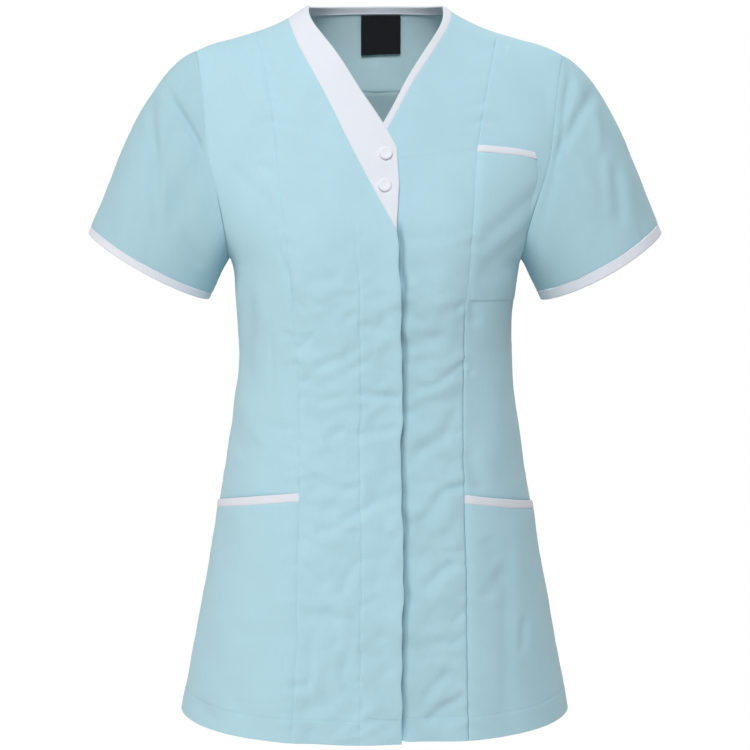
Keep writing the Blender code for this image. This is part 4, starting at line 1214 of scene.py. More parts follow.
def cloth_material(finish):
    material = bpy.data.materials.new(finish.name)
    material.use_nodes = True
    tree = material.node_tree
    shader = tree.nodes["Principled BSDF"]
    shader.inputs["Roughness"].default_value = finish.roughness
    shader.inputs["Sheen Weight"].default_value = finish.sheen
    shader.inputs["Sheen Roughness"].default_value = 0.5
    shader.inputs["Specular IOR Level"].default_value = 0.25
    cut = tree.nodes.new("ShaderNodeUVMap")
    cut.uv_map = "cut"
    colour = tree.nodes.new("ShaderNodeGroup")
    colour.node_tree = YARN
    colour.inputs["Colour"].default_value = (*finish.colour, 1)
    colour.inputs["Variation"].default_value = finish.variation
    weave = tree.nodes.new("ShaderNodeGroup")
    weave.node_tree = TWILL
    weave.inputs["Ribs per metre"].default_value = finish.ribs
    weave.inputs["Unevenness"].default_value = finish.unevenness
    bump = tree.nodes.new("ShaderNodeBump")
    bump.inputs["Distance"].default_value = finish.relief
    for group in (colour, weave):
        tree.links.new(cut.outputs["UV"], group.inputs["Cut"])
    tree.links.new(colour.outputs["Colour"], shader.inputs["Base Color"])
    tree.links.new(weave.outputs["Height"], bump.inputs["Height"])
    tree.links.new(bump.outputs["Normal"], shader.inputs["Normal"])
    return material


MATERIALS = {finish.name: cloth_material(finish) for finish in FINISHES}
BLUE, WHITE, BLACK = MATERIALS["blue_twill"], MATERIALS["white_twill"], MATERIALS["black_weave"]
BLUE_THREAD, WHITE_THREAD = MATERIALS["blue_thread"], MATERIALS["white_thread"]
print("finishes:", ", ".join(MATERIALS))

# %% [markdown]
# ## How a panel is made
#
# Each panel is drawn with the same few steps, so they are one function. What differs is in its
# call: the patch, the kinds of its edges, and the lift that moves it off the form where layers
# cross, as at the overlap.

# %% Panel maker
CLOTHS = {}
CRUMPLE = 0.0004
CENTRE_CRUMPLE, BACK_CRUMPLE = 0.0030, 0.0020
CRUMPLE_REACH, CREASE_REACH, OUTER_REACH = 0.009, 0.006, 0.007
CRUMPLE_TOP_Z, CRUMPLE_FADE, CHEST_CRUMPLE = -0.262, 0.035, 0.10
UNDERARM_FADE = 0.02
LAYERED = ("chest_pocket", "front_side_left")


def crumple_share(z):
    """The chest is pulled smooth. Below it the cloth is free to crumple."""
    return CHEST_CRUMPLE + (1 - CHEST_CRUMPLE) * ease((CRUMPLE_TOP_Z - z) / CRUMPLE_FADE + 0.5)


def nearest(cloth, edges):
    """The distance to the nearest of some edges, far if there are none."""
    return np.minimum.reduce([getattr(cloth, edge) for edge in edges] or [np.ones_like(cloth.left)])


def creases_across(name, face, x, z, near):
    """A piece's own creases, those of the layer on or under it, and those of its neighbours where
    they run out over a seam."""
    own = LAYERED if name in LAYERED else (name,)
    back = face == "back"
    torso = [key for key in CREASES if "sleeve" not in key and ("back" in key) == back]
    others = sum(crease_depth(key, x, z) for key in torso if key not in own)
    fade = np.exp(-((near / CREASE_REACH) ** 2))
    return sum(crease_depth(key, x, z) for key in own) + fade * others


def make_panel(name, face, grid, rows, cols, kinds, material, flip=False, **how):
    """One panel of the torso, as cloth. Kinds are those of its left, right, top and low edges.
    how may give a lift, a thickness, and the outer edges: those at an armhole or a side seam,
    where the waves die out."""
    thickness = how.get("thickness", CLOTH_THICKNESS)
    u = columns_for(face, grid, rows, cols, how.get("stitch"), *how.get("span", (0.0, 1.0)))
    across, z = grid(u, rows[:, None] + 0 * u)
    points, normals = form_points(face, across, z)
    cloth = measured(spread(points), normals)
    x = cloth.points[..., 0]
    outer_edges = how.get("outer", ())
    to_outer = how["to_outer"](cloth, z) if "to_outer" in how else nearest(cloth, outer_edges)
    free = 1 - np.exp(-((to_outer / OUTER_REACH) ** 2))
    loose = 1 - (1 - free) * ease((z - UNDERARM_Z) / UNDERARM_FADE + 1)
    edges = dict(zip(Cloth._fields[2:], kinds))
    joins = [edge for edge, kind in edges.items() if kind == "seam" and edge not in outer_edges]
    near = nearest(cloth, joins)
    extra = how.get("crumple", CRUMPLE) - CRUMPLE
    crumple = CRUMPLE + extra * (1 - np.exp(-((near / CRUMPLE_REACH) ** 2)))
    relief = SLACK * slackness(x, z) + crumple * crumple_share(z) * crumpled(x, z)
    relief = loose * relief + free * creases_across(how.get("creases", name), face, x, z, near)
    relief = relief + edge_relief(cloth, z, kinds, thickness, loose)
    if "lift" in how:
        relief = relief + how["lift"](x, z, cloth)
    outer = cloth.points + normals * relief[..., None]
    rims = [rolled(getattr(cloth, edge), roll_of(kind, thickness)) for edge, kind in edges.items()]
    inner = inner_face(outer, normals, thickness, sum(rims))
    cut = np.stack([cloth.left, -cloth.top], -1)
    piece = grid_mesh(name + "_cloth", outer, inner, cut, material, flip)
    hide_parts(name)
    CLOTHS[name] = cloth._replace(points=outer)
    print(name, outer.shape[:2], "area", round(area_of(outer), 4))


def area_of(points):
    a = points[1:, :-1] - points[:-1, :-1]
    b = points[:-1, 1:] - points[:-1, :-1]
    return float(np.linalg.norm(np.cross(a, b), axis=-1).sum())


# %% [markdown]
# ## Centre fronts
#
# The wearer's right centre front crosses over the left one. Its free edge is a fly placket:
# doubled cloth held by a long row of stitches that hides the fastening, so it lies flatter than
# the cloth beside it. The left front drops behind it in a shadowed channel. A maker presses
# such steps with an iron, and here they are lifts of the panel, worked out from each edge.

# %% Centre fronts
PLACKET_LINE = 0.0405
PLACKET_EXTRA = 0.0003
PLACKET_PUCKER = 0.00085
PLACKET_SEED = 4.0
HEM_EXTRA = 0.00025
PLACKET_STITCH_SINK, HEM_STITCH_SINK = 0.00070, 0.00024
STITCH_WIDTH, HEM_STEP, PLACKET_STEP, BAND_TIP_FADE = 0.0009, 0.0012, 0.0016, 0.02
LAYER_DEPTH = 0.0032
UNDERLAP_SLOPE_X, UNDERLAP_SLOPE = 0.058, 0.050
BODY_ROW_COUNT = 236
BODY_ROWS = body_rows(0, HEM_ROW, BODY_ROW_COUNT)
EdgeLift = namedtuple("EdgeLift", "z lift")
EDGE_LIFTS = [
    EdgeLift(-0.128, 0.0004),
    EdgeLift(-0.150, 0.0010),
    EdgeLift(-0.178, 0.0022),
    EdgeLift(-0.205, 0.0010),
    EdgeLift(-0.232, 0.0014),
    EdgeLift(-0.268, 0.0030),
    EdgeLift(-0.300, 0.0016),
    EdgeLift(-0.325, 0.0028),
    EdgeLift(-0.375, 0.0010),
    EdgeLift(-0.410, 0.0016),
    EdgeLift(-0.440, 0.0010),
    EdgeLift(-0.495, 0.0026),
    EdgeLift(-0.530, 0.0012),
    EdgeLift(-0.566, 0.0030),
    EdgeLift(-0.620, 0.0014),
    EdgeLift(-0.710, 0.0016),
]
edge_lift = curve(EDGE_LIFTS, "z", "lift")
EDGE_RISE_REACH = 0.012
TUCK_SINK, TUCK_WIDTH, TUCK_TOP_Z, TUCK_FADE = 0.0009, 0.0015, -0.275, 0.03


def tuck(away, z):
    """Below the chest pocket the left princess seam is pulled in to a narrow channel."""
    return -TUCK_SINK * ease((TUCK_TOP_Z - z) / TUCK_FADE) * np.exp(-((away / TUCK_WIDTH) ** 2))


def groove(distance, line, sink):
    """A row of stitches pulls its line of cloth in."""
    return -sink * np.exp(-(((distance - line) / STITCH_WIDTH) ** 2))


def hem_lift(cloth):
    """The hem is doubled cloth, held down by its row of stitches."""
    doubled = HEM_EXTRA * ease((HEM_TURN - cloth.low) / HEM_STEP + 0.5)
    return doubled + groove(cloth.low, HEM_TURN, HEM_STITCH_SINK)


HEM_FALL, HEM_FALL_TOP_Z, HEM_FALL_REACH = 0.0045, -0.600, 0.012


def hem_fall(away, z):
    """Towards the hem the centre fronts hang back a little between their princess seams."""
    low = np.maximum(HEM_FALL_TOP_Z - z, 0) / (HEM_FALL_TOP_Z - HEM_FRONT_Z)
    return HEM_FALL * low * (1 - np.exp(-((away / HEM_FALL_REACH) ** 2)))


def overlap_edge_x(z):
    corner = BAND_INNER[-1].z
    above = band_inner_x(np.maximum(z, corner))
    return np.where(z > corner, above, front_edge_x(np.minimum(z, corner)))


def edge_rise(x, z):
    """The free edge of the overlap stands up a little, more in some places than others."""
    away = overlap_edge_x(z) - x
    return edge_lift(z) * np.exp(-((away / EDGE_RISE_REACH) ** 2))


def right_lift(x, z, cloth):
    """The placket begins below the tip of the neck band."""
    below_tip = ease((BAND_OUTER[-1].z - z) / BAND_TIP_FADE + 0.5)
    from_stitches = np.abs(cloth.left - PLACKET_LINE)
    doubled = PLACKET_EXTRA * ease((PLACKET_LINE - cloth.left) / PLACKET_STEP + 0.5)
    doubled = doubled + groove(cloth.left, PLACKET_LINE, PLACKET_STITCH_SINK)
    doubled = doubled + PLACKET_PUCKER * pucker(cloth.top, from_stitches, PLACKET_SEED)
    return doubled * below_tip + hem_lift(cloth) + edge_rise(x, z) - hem_fall(cloth.right, z)


def underlap(x, z):
    """The left front sinks by a layer's depth before it goes under the right one."""
    return -LAYER_DEPTH * ease((overlap_edge_x(z) + UNDERLAP_SLOPE_X - x) / UNDERLAP_SLOPE)


SHADOW_SINK, SHADOW_REACH, SHADOW_SLOPE = 0.0078, 0.0028, 0.006
SHADOW_TOP_Z, SHADOW_FADE, SHADOW_WIDER, SHADOW_DEEPER = -0.198, 0.025, 0.7, 0.5


def left_lift(x, z, cloth):
    """Next to the overlap the left front curves in deeper, most where the overlap stands up."""
    beside = x - overlap_edge_x(z) - SHADOW_REACH - SHADOW_WIDER * edge_lift(z)
    depth = (SHADOW_SINK + SHADOW_DEEPER * edge_lift(z)) * ease((SHADOW_TOP_Z - z) / SHADOW_FADE)
    deeper = depth * ease(0.5 - beside / SHADOW_SLOPE)
    return underlap(x, z) - deeper + hem_lift(cloth) + tuck(cloth.right, z) - hem_fall(cloth.right, z)


make_panel(
    "front_centre_right",
    "front",
    centre_right,
    rows=BODY_ROWS,
    cols=40,
    kinds=("quiet", "seam", "quiet", "fold"),
    material=BLUE,
    stitch=PLACKET_LINE,
    lift=right_lift,
    crumple=CENTRE_CRUMPLE,
    thickness=0.0013,
)
make_panel(
    "front_centre_left",
    "front",
    centre_left,
    rows=BODY_ROWS,
    cols=44,
    kinds=("fold", "seam", "quiet", "fold"),
    material=BLUE,
    flip=True,
    lift=left_lift,
    crumple=CENTRE_CRUMPLE,
)

# %% [markdown]
# ## Side fronts
#
# The princess seam runs from the shoulder over the bust to the hem, and gives the front its
# shape without darts. Outside it lies the side front, sewn into the armhole above and the side
# seam below. Its hip pocket is a second layer, so the side front sinks a little beneath it.

# %% Side fronts
Pocket = namedtuple("Pocket", "side inner_top outer_top inner_low outer_low trim bag curve")
POCKETS = {
    "lower_pocket_right": Pocket("right", -0.4683, -0.4919, -1.0, -1.0, 0.0082, 0.0013, 1.1),
    "lower_pocket_left": Pocket("left", -0.4706, -0.4929, -1.0, -1.0, 0.0082, 0.0013, 0.9),
    "chest_pocket": Pocket("left", -0.1330, -0.1415, -0.2830, -0.2900, 0.0065, 0.0007, 1.0),
}
UNDER_POCKET_SINK, POCKET_STEP = 0.0022, 0.006
FREE_EDGE_DIVE, FREE_EDGE_REACH = 0.0004, 0.0018
FREE_EDGE_PRESS, SIDE_PRESS_REACH, LOW_PRESS_REACH = 0.0008, 0.010, 0.018
ARMHOLE_FILL, ARMHOLE_FILL_REACH = 0.0013, 0.009
ARMHOLE_FILL_LOW_Z, ARMHOLE_FILL_TOP_Z = -0.205, -0.052
ARMHOLE_FILL_LOW_FADE, ARMHOLE_FILL_TOP_FADE = 0.06, 0.02


def armhole_fill(away, z):
    """The seam allowance inside the armhole pads out its upper part."""
    above = ease((z - ARMHOLE_FILL_LOW_Z) / ARMHOLE_FILL_LOW_FADE)
    below = ease((ARMHOLE_FILL_TOP_Z - z) / ARMHOLE_FILL_TOP_FADE)
    return ARMHOLE_FILL * above * below * np.exp(-((away / ARMHOLE_FILL_REACH) ** 2))


def mouth_z(pocket, share):
    """The height of a pocket's mouth, from its inner end at 0 to its outer end at 1."""
    return pocket.inner_top + (pocket.outer_top - pocket.inner_top) * share**pocket.curve


def side_lift(side):
    """Under its hip pocket the side front lies a little deeper, behind the pocket's layer."""
    pocket = POCKETS[f"lower_pocket_{side}"]

    def lift(x, z, cloth):
        tops = mouth_z(pocket, cloth.left / (cloth.left + cloth.right))
        sink = UNDER_POCKET_SINK * ease((tops - z) / POCKET_STEP)
        return armhole_fill(cloth.right, z) - sink

    return lift


for side in SIGN:
    make_panel(
        f"front_side_{side}",
        "front",
        side_front(side),
        rows=BODY_ROWS,
        cols=42,
        kinds=("seam", "quiet", "quiet", "fold"),
        material=BLUE,
        flip=side == "left",
        lift=side_lift(side),
        outer=("right",),
    )

# %% [markdown]
# ## Back
#
# Only the inside of the back neck shows in the photograph: a binding, a label and the seam of
# a shoulder yoke. Such a yoke is common on workwear, as it takes the pull of the shoulders. The
# rest is a plain back in one piece, with folds like those of the front.

# %% Back
YOKE_ROW = 4
YOKE_SEAM_RISE, YOKE_SEAM_WIDTH = 0.0013, 0.0016


def yoke_seam(away):
    """The seam's turnings lie outwards, so it stands up outside and sinks in inside."""
    return YOKE_SEAM_RISE * np.exp(-((away / YOKE_SEAM_WIDTH) ** 2))


make_panel(
    "back_yoke",
    "back",
    whole_back,
    rows=body_rows(0, YOKE_ROW, 30, hemmed=False),
    cols=130,
    kinds=("quiet", "quiet", "quiet", "seam"),
    material=BLUE,
    span=(-1.0, 1.0),
    lift=lambda x, z, cloth: yoke_seam(cloth.low),
    outer=("left", "right"),
)
make_panel(
    "back_body",
    "back",
    whole_back,
    rows=body_rows(YOKE_ROW, HEM_ROW, 190),
    cols=136,
    kinds=("quiet", "quiet", "seam", "fold"),
    material=BLUE,
    span=(-1.0, 1.0),
    lift=lambda x, z, cloth: yoke_seam(cloth.top) + hem_lift(cloth),
    outer=("left", "right"),
    crumple=BACK_CRUMPLE,
)

# %% [markdown]
# ## The neckline
#
# The white band is cloth folded in two, so its free edge is a soft round fold. The two narrow
# bindings wrap over the raw edge of the neckline and are rounded on both sides.

# %% Neck pieces
BAND_TIP_WIDTH = 0.0012
TRIM_PROUD = 0.0003
SHOULDER_SEARCH_X, SHOULDER_SAMPLES = 0.19, 400


def band_inner_line(row):
    """The band's free edge, kept a hair clear of its seam at the tip."""
    top = shoulder_meeting(band_inner_x, 0.0)
    z = top + (BAND_OUTER[-1].z - top) * row_share(row) / row_share(BAND_TIP_ROW)
    return np.maximum(overlap_edge_x(z), band_seam(row)[0] + BAND_TIP_WIDTH / 2), z


def neck_band(u, row):
    x0, x1 = band_inner_line(np.array(0.0))[0], band_seam(np.array(0.0))[0]
    return patch(band_inner_line, band_seam, BAND_TIP_ROW, u, row, lambda u: shoulder_top(x0, x1, u))


def neckline(row):
    top = shoulder_meeting(left_neckline_x, 0.0)
    z = top + (LEFT_NECKLINE[-1].z - top) * row_share(row) / row_share(NECK_END_ROW)
    return left_neckline_x(z), z


def left_binding(u, row):
    x0, x1 = neckline(np.array(0.0))[0], left_neck_seam(np.array(0.0))[0]
    return patch(neckline, left_neck_seam, NECK_END_ROW, u, row, lambda u: shoulder_top(x0, x1, u))


def shoulder_x(z):
    xs = np.linspace(0, SHOULDER_SEARCH_X, SHOULDER_SAMPLES)
    return float(np.interp(-z, -shoulder_z(xs), xs))


def back_binding(u, row):
    """u runs from -1 to 1 across the back neck, row from 0 to 1 down the binding."""
    top_x, low_x = shoulder_x(BACK_NECK_Z), shoulder_x(BACK_NECK_Z - BINDING_WIDTH)
    z = BACK_NECK_Z - BINDING_WIDTH * row + 0 * u
    return across_of(u * (top_x + (low_x - top_x) * row), z), z


make_panel(
    "neck_band",
    "front",
    neck_band,
    rows=body_rows(0, BAND_TIP_ROW, 84, hemmed=False),
    cols=18,
    kinds=("fold", "quiet", "fold", "quiet"),
    material=WHITE,
    lift=lambda x, z, cloth: TRIM_PROUD + edge_rise(x, z),
    thickness=0.0020,
)
make_panel(
    "neck_binding_left",
    "front",
    left_binding,
    rows=body_rows(0, NECK_END_ROW, 70, hemmed=False),
    cols=5,
    kinds=("fold", "quiet", "fold", "fold"),
    material=WHITE,
    flip=True,
    lift=lambda x, z, cloth: TRIM_PROUD + underlap(x, z),
    thickness=0.0021,
)
make_panel(
    "neck_binding_back",
    "back",
    back_binding,
    rows=crowded(BINDING_WIDTH, 5),
    cols=60,
    kinds=("fold", "fold", "fold", "quiet"),
    material=WHITE,
    span=(-1.0, 1.0),
    lift=lambda x, z, cloth: TRIM_PROUD,
    thickness=0.0022,
)

# %% [markdown]
# ## Pockets
#
# A pocket is a second layer on its side front. It follows the panel beneath and bags out at the
# mouth, where a white binding closes its top edge. The hip pockets are held by the princess
# seam, the side seam and the hem, and the chest pocket's outer edges are sewn down flat.

# %% Pocket outlines
LAYER_GAP = 0.0004
TRIM_THICKNESS, TRIM_LIFT = 0.0017, 0.00130
MOUTH_REACH, BAG_ROUNDNESS = 0.045, 0.8
LOWER_POCKET_LENGTH, CHEST_POCKET_LENGTH = 0.215, 0.15
LOWER_POCKET_ROWS, CHEST_POCKET_ROWS, POCKET_COLS = 84, 56, 38
TRACE_ROWS, TRACE_LINES = 361, 61
POCKET_SEAM_SINK = 0.0013
POCKET_SEAM_REACH = 0.0045
ChestEdge = namedtuple("ChestEdge", "row share")
CHEST_EDGE = [
    ChestEdge(5.90, 0.684),
    ChestEdge(6.35, 0.712),
    ChestEdge(6.60, 0.785),
    ChestEdge(7.05, 0.865),
    ChestEdge(7.60, 0.895),
    ChestEdge(8.40, 0.930),
    ChestEdge(9.40, 0.975),
    ChestEdge(11.0, 0.990),
    ChestEdge(30.0, 0.990),
]
chest_edge = curve(CHEST_EDGE, "row", "share")


def whole_width(row):
    return 1.0 + 0 * row


POCKET_EDGES = {
    "lower_pocket_right": whole_width,
    "lower_pocket_left": whole_width,
    "chest_pocket": chest_edge,
}


def pocket_grid(name, inner_top, outer_top, inner_low, outer_low):
    """A patch of the side front between two lines that are given by their heights."""
    pocket, edge = POCKETS[name], POCKET_EDGES[name]
    grid = side_front(pocket.side)
    rows = np.linspace(0, HEM_ROW, TRACE_ROWS)
    lines = np.linspace(0, 1, TRACE_LINES)
    heights = grid(lines * edge(rows)[:, None], rows[:, None] + 0 * lines)[1]
    share = lines**pocket.curve
    tops = inner_top + (outer_top - inner_top) * share
    lows = inner_low + (outer_low - inner_low) * share
    first = np.array([np.interp(-top, -heights[:, i], rows) for i, top in enumerate(tops)])
    last = np.array([np.interp(-low, -heights[:, i], rows) for i, low in enumerate(lows)])

    def read(u, t):
        start, end = np.interp(u, lines, first), np.interp(u, lines, last)
        row = start + (end - start) * t
        return grid(u * edge(row), row)

    return read


def to_outer_seam(pocket, cloth, z):
    """How far each point of a pocket is from the outer seam of the side front under it."""
    panel = CLOTHS[f"front_side_{pocket.side}"]
    heights = panel.points[:, panel.points.shape[1] // 2, 2]
    return np.interp(-z, -heights, panel.left[:, -1]) - cloth.left


print("chest pocket's share of the side front:", CHEST_EDGE[0].share, "to", CHEST_EDGE[-1].share)


# %% Pockets and their trims
def pocket_lift(pocket, proud, sewn_outside=True):
    """The pocket bags out at its mouth and dives into the seams that hold its sides."""

    def lift(x, z, cloth):
        share = cloth.left / (cloth.left + cloth.right)
        mouth = np.exp(-(((mouth_z(pocket, share) - z) / MOUTH_REACH) ** 2))
        into_seam = np.exp(-((cloth.left / POCKET_SEAM_REACH) ** 2))
        pressed = 0
        if sewn_outside:
            into_seam = into_seam + np.exp(-((cloth.right / POCKET_SEAM_REACH) ** 2))
        elif proud == CLOTH_THICKNESS:
            edges = np.minimum(cloth.right, cloth.low)
            wide = np.minimum(cloth.right / SIDE_PRESS_REACH, cloth.low / LOW_PRESS_REACH)
            pressed = FREE_EDGE_DIVE * np.exp(-((edges / FREE_EDGE_REACH) ** 2))
            pressed = pressed + FREE_EDGE_PRESS * np.exp(-(wide**2))
        if pocket.side == "left":
            pressed = pressed - armhole_fill(to_outer_seam(pocket, cloth, z), z)
        bag = pocket.bag * mouth * np.sin(np.pi * share) ** BAG_ROUNDNESS
        sunk = (POCKET_SEAM_SINK + proud - CLOTH_THICKNESS) * into_seam
        return LAYER_GAP + proud + bag - sunk - pressed

    return lift


def make_pocket(name, pocket):
    is_lower = name != "chest_pocket"
    flip = pocket.side == "left"
    seam_inner, seam_outer = pocket.inner_top - pocket.trim, pocket.outer_top - pocket.trim
    grid = pocket_grid(name, seam_inner, seam_outer, pocket.inner_low, pocket.outer_low)
    down = crowded(CHEST_POCKET_LENGTH, CHEST_POCKET_ROWS)
    if is_lower:
        hem_at, before = LOWER_POCKET_LENGTH - HEM_TURN, LOWER_POCKET_ROWS - HEM_ROWS
        down = crowded(LOWER_POCKET_LENGTH, LOWER_POCKET_ROWS, hem_at, before)
    bag = pocket_lift(pocket, CLOTH_THICKNESS, is_lower)

    def lift(x, z, cloth):
        return bag(x, z, cloth) + (hem_lift(cloth) if is_lower else 0)

    kinds = ("seam", "quiet", "quiet", "fold") if is_lower else ("seam", "fold", "quiet", "fold")
    sides = {"outer": ("right",)} if is_lower else {"to_outer": partial(to_outer_seam, pocket)}
    make_panel(name, "front", grid, down, POCKET_COLS, kinds, BLUE, flip, lift=lift, **sides)
    mouth = pocket_grid(name, pocket.inner_top, pocket.outer_top, seam_inner, seam_outer)
    make_panel(
        name.replace("pocket", "pocket_trim"),
        "front",
        mouth,
        rows=crowded(pocket.trim, 5),
        cols=POCKET_COLS,
        kinds=("fold", "fold", "fold", "quiet"),
        material=WHITE,
        flip=flip,
        lift=pocket_lift(pocket, TRIM_LIFT, is_lower),
        thickness=TRIM_THICKNESS,
        creases=name,
        **sides,
    )


for name, pocket in POCKETS.items():
    make_pocket(name, pocket)

# %% [markdown]
# ## The form of a sleeve
#
# A set-in sleeve is sewn into the armhole all round, so it has to start exactly there. Each line
# of cloth down a sleeve is a smooth curve. It leaves the armhole in the direction the shoulder
# gives it and arrives square to the sleeve's hem.

# %% Sleeve lines
Sleeve = namedtuple("Sleeve", "side top_x top_z low_x low_z half_depth droop head_x head_z")
SLEEVES = {
    "right": Sleeve(-1, 0.2845, -0.2240, 0.1655, -0.2900, 0.063, 0.0022, 0.93, -0.37),
    "left": Sleeve(1, 0.2845, -0.2240, 0.1655, -0.2905, 0.063, 0.0048, 0.89, -0.46),
}
SLEEVE_UNDER_WAY = (0.48, -0.88)
SLEEVE_END_WAY = (0.40, 0.0, -0.92)
SLEEVE_SPREAD, SLEEVE_START_PULL, SLEEVE_END_PULL = -0.16, 0.26, 0.30
CUFF_BINDING_WIDTH = {"right": 0.0080, "left": 0.0108}
SleeveFold = namedtuple("SleeveFold", "around start end height width")
SLEEVE_FOLDS = [
    SleeveFold(0.115, 0.05, 0.55, 0.0020, 0.030),
    SleeveFold(0.215, 0.00, 0.70, 0.0028, 0.028),
    SleeveFold(0.790, 0.00, 0.65, 0.0028, 0.028),
    SleeveFold(0.890, 0.10, 0.60, 0.0018, 0.030),
]
SLEEVE_COLUMNS, SLEEVE_ROWS, SLEEVE_LINE_STEPS = 168, 62, 60
SLEEVE_LENGTH = 0.17
FOLD_START_STEEPNESS, SLEEVE_FOLD_PAST_END = 6, 0.3


def armhole_ring(side):
    """Points round the armhole: shoulder tip, front, underarm, back."""
    ring = np.linspace(0, 2 * UNDERARM_ROW, SLEEVE_COLUMNS, endpoint=False)
    front = ring <= UNDERARM_ROW
    x, z = outer_seam(side, np.where(front, ring, 2 * UNDERARM_ROW - ring))
    across = across_of(x, z)
    both = [form_points(face, across, z)[0] for face in ("front", "back")]
    return np.where(front[:, None], *both)


def sleeve_lines(side):
    sleeve = SLEEVES[side]
    ring = armhole_ring(side)
    turn = np.linspace(0, 2 * np.pi, SLEEVE_COLUMNS, endpoint=False)[:, None]
    mirror = np.array([sleeve.side, 1, 1])
    centre = np.array([(sleeve.top_x + sleeve.low_x) / 2, 0, (sleeve.top_z + sleeve.low_z) / 2])
    to_top = np.array([sleeve.top_x, 0, sleeve.top_z]) - centre
    to_front = np.array([0, -sleeve.half_depth, 0])
    down = np.array(SLEEVE_END_WAY) * sleeve.droop * np.sin(turn) ** 2
    cuff = (centre + np.cos(turn) * to_top + np.sin(turn) * to_front + down) * mirror
    under = (1 - np.cos(turn)) / 2
    start_x = sleeve.head_x + (SLEEVE_UNDER_WAY[0] - sleeve.head_x) * under
    start_z = sleeve.head_z + (SLEEVE_UNDER_WAY[1] - sleeve.head_z) * under
    start_way = unit(np.concatenate([start_x, SLEEVE_SPREAD * np.sin(turn), start_z], axis=1) * mirror)
    end_way = unit(np.array(SLEEVE_END_WAY) * mirror)
    run = np.linalg.norm(cuff - ring, axis=1, keepdims=True)
    first, last = ring + start_way * run * SLEEVE_START_PULL, cuff - end_way * run * SLEEVE_END_PULL
    t = np.linspace(0, 1, SLEEVE_LINE_STEPS + 1)[:, None, None]
    lines = (1 - t) ** 3 * ring + 3 * (1 - t) ** 2 * t * first + 3 * (1 - t) * t**2 * last + t**3 * cuff
    around = turn[:, 0] / (2 * np.pi)
    out = tube_normals(lines, sleeve.side)
    height = sum(
        fold.height
        * ease((t[:, :, 0] - fold.start) * FOLD_START_STEEPNESS)
        * ease((fold.end - t[:, :, 0]) * END_STEEPNESS + SLEEVE_FOLD_PAST_END)
        * np.exp(-(((around[None, :] - fold.around) / fold.width) ** 2))
        for fold in SLEEVE_FOLDS
    )
    return lines + out * height[..., None], out


def tube_normals(lines, side):
    around = np.roll(lines, -1, axis=1) - np.roll(lines, 1, axis=1)
    return unit(np.cross(around, np.gradient(lines, axis=0))) * side


def cut_tube(lines, out, start, end, places):
    """Rings between two distances: from the armhole, and back from the sleeve's hem."""
    length = run_length(lines, 0)
    points = np.empty((len(places), lines.shape[1], 3))
    facing = np.empty_like(points)
    for col in range(lines.shape[1]):
        total = length[-1, col]
        low = start if start >= 0 else total + start
        wanted = low + (total - end - low) * places
        for axis in range(3):
            points[:, col, axis] = np.interp(wanted, length[:, col], lines[:, col, axis])
            facing[:, col, axis] = np.interp(wanted, length[:, col], out[:, col, axis])
    return points, unit(facing)


for side in SIGN:
    print(side, "armhole all round:", round(float(run_length(armhole_ring(side), 0)[-1]), 3))

# %% [markdown]
# ## Sleeves and their bindings
#
# The cloth of a sleeve takes its drag folds from where the arm would lift it, and small puckers
# from the armhole seam and the binding. The binding is a strip folded over the raw edge, so it
# is thicker than the cloth and round on both sides.

# %% Sleeves and their bindings
SLEEVE_TURN = 0.035
SLEEVE_SEED = {"right": 2.0, "left": 5.0}
SLEEVE_SEAM_SHARE, SLEEVE_SHIFT = 0.5, 0.05
CUFF_BINDING_THICKNESS = 0.0022


def sleeve_creases(name, points):
    """Creases of the front half where the sleeve faces forwards, of the back half behind."""
    x, y, z = points[..., 0], points[..., 1], points[..., 2]
    ahead = ease(0.5 - y / SLEEVE_TURN)
    behind = ease(0.5 + y / SLEEVE_TURN)
    return ahead * crease_depth(name, x, z) + behind * crease_depth(name + "_back", x, z)


def wrapped(values):
    """The first column again after the last, so that a tube closes."""
    return np.concatenate([values, values[:, :1]], axis=1)


def sleeve_relief(side, points, around, down):
    """Slack cloth and creases, fading out at the armhole, and puckers at both ends."""
    seed = SLEEVE_SEED[side]
    up = down[-1:] - down
    free = 1 - np.exp(-((down / OUTER_REACH) ** 2))
    relief = SLACK * slackness(around + SLEEVE_SHIFT * seed, down, seed)
    relief = free * (relief + sleeve_creases(f"sleeve_{side}", points))
    in_front = ease(0.5 - points[..., 1] / SLEEVE_TURN)
    relief = relief + in_front * armhole_fill(down, points[0, :, 2])
    puckers = free * pucker(around, down, seed) + pucker(around, up, seed + 1)
    sunk = np.exp(-((down / SEAM_WIDTH) ** 2)) + np.exp(-((up / SEAM_WIDTH) ** 2))
    return relief + SLEEVE_SEAM_SHARE * (SEAM_PUCKER * puckers - SEAM_SINK * sunk)


def make_sleeve(side, lines, out):
    places = crowded(SLEEVE_LENGTH, SLEEVE_ROWS)
    points, facing = cut_tube(lines, out, 0, CUFF_BINDING_WIDTH[side], places)
    down = run_length(points, 0)
    around = run_length(wrapped(points), 1)
    relief = sleeve_relief(side, points, around[:, :-1], down)
    rim = rolled(down, SEAM_ROLL)
    outer = points + facing * (relief - rim)[..., None]
    inner = inner_face(outer, facing, CLOTH_THICKNESS, rim)
    # The sleeves take the darker cloth, as painted shade.
    finish_tube(f"sleeve_{side}", outer, inner, facing, around, down, MATERIALS["blue_twill_sleeves_painted_shade"])


def make_cuff_binding(side, lines, out):
    width, half = CUFF_BINDING_WIDTH[side], CUFF_BINDING_THICKNESS / 2
    points, facing = cut_tube(lines, out, -width, 0, crowded(width, 5))
    down = run_length(points, 0)
    around = run_length(wrapped(points), 1)
    rim = rolled(down, half) + rolled(down[-1:] - down, half)
    outer = points + facing * (TRIM_PROUD - rim)[..., None]
    inner = points + facing * (TRIM_PROUD - CUFF_BINDING_THICKNESS + rim)[..., None]
    finish_tube(f"sleeve_binding_{side}", outer, inner, facing, around, down, WHITE)


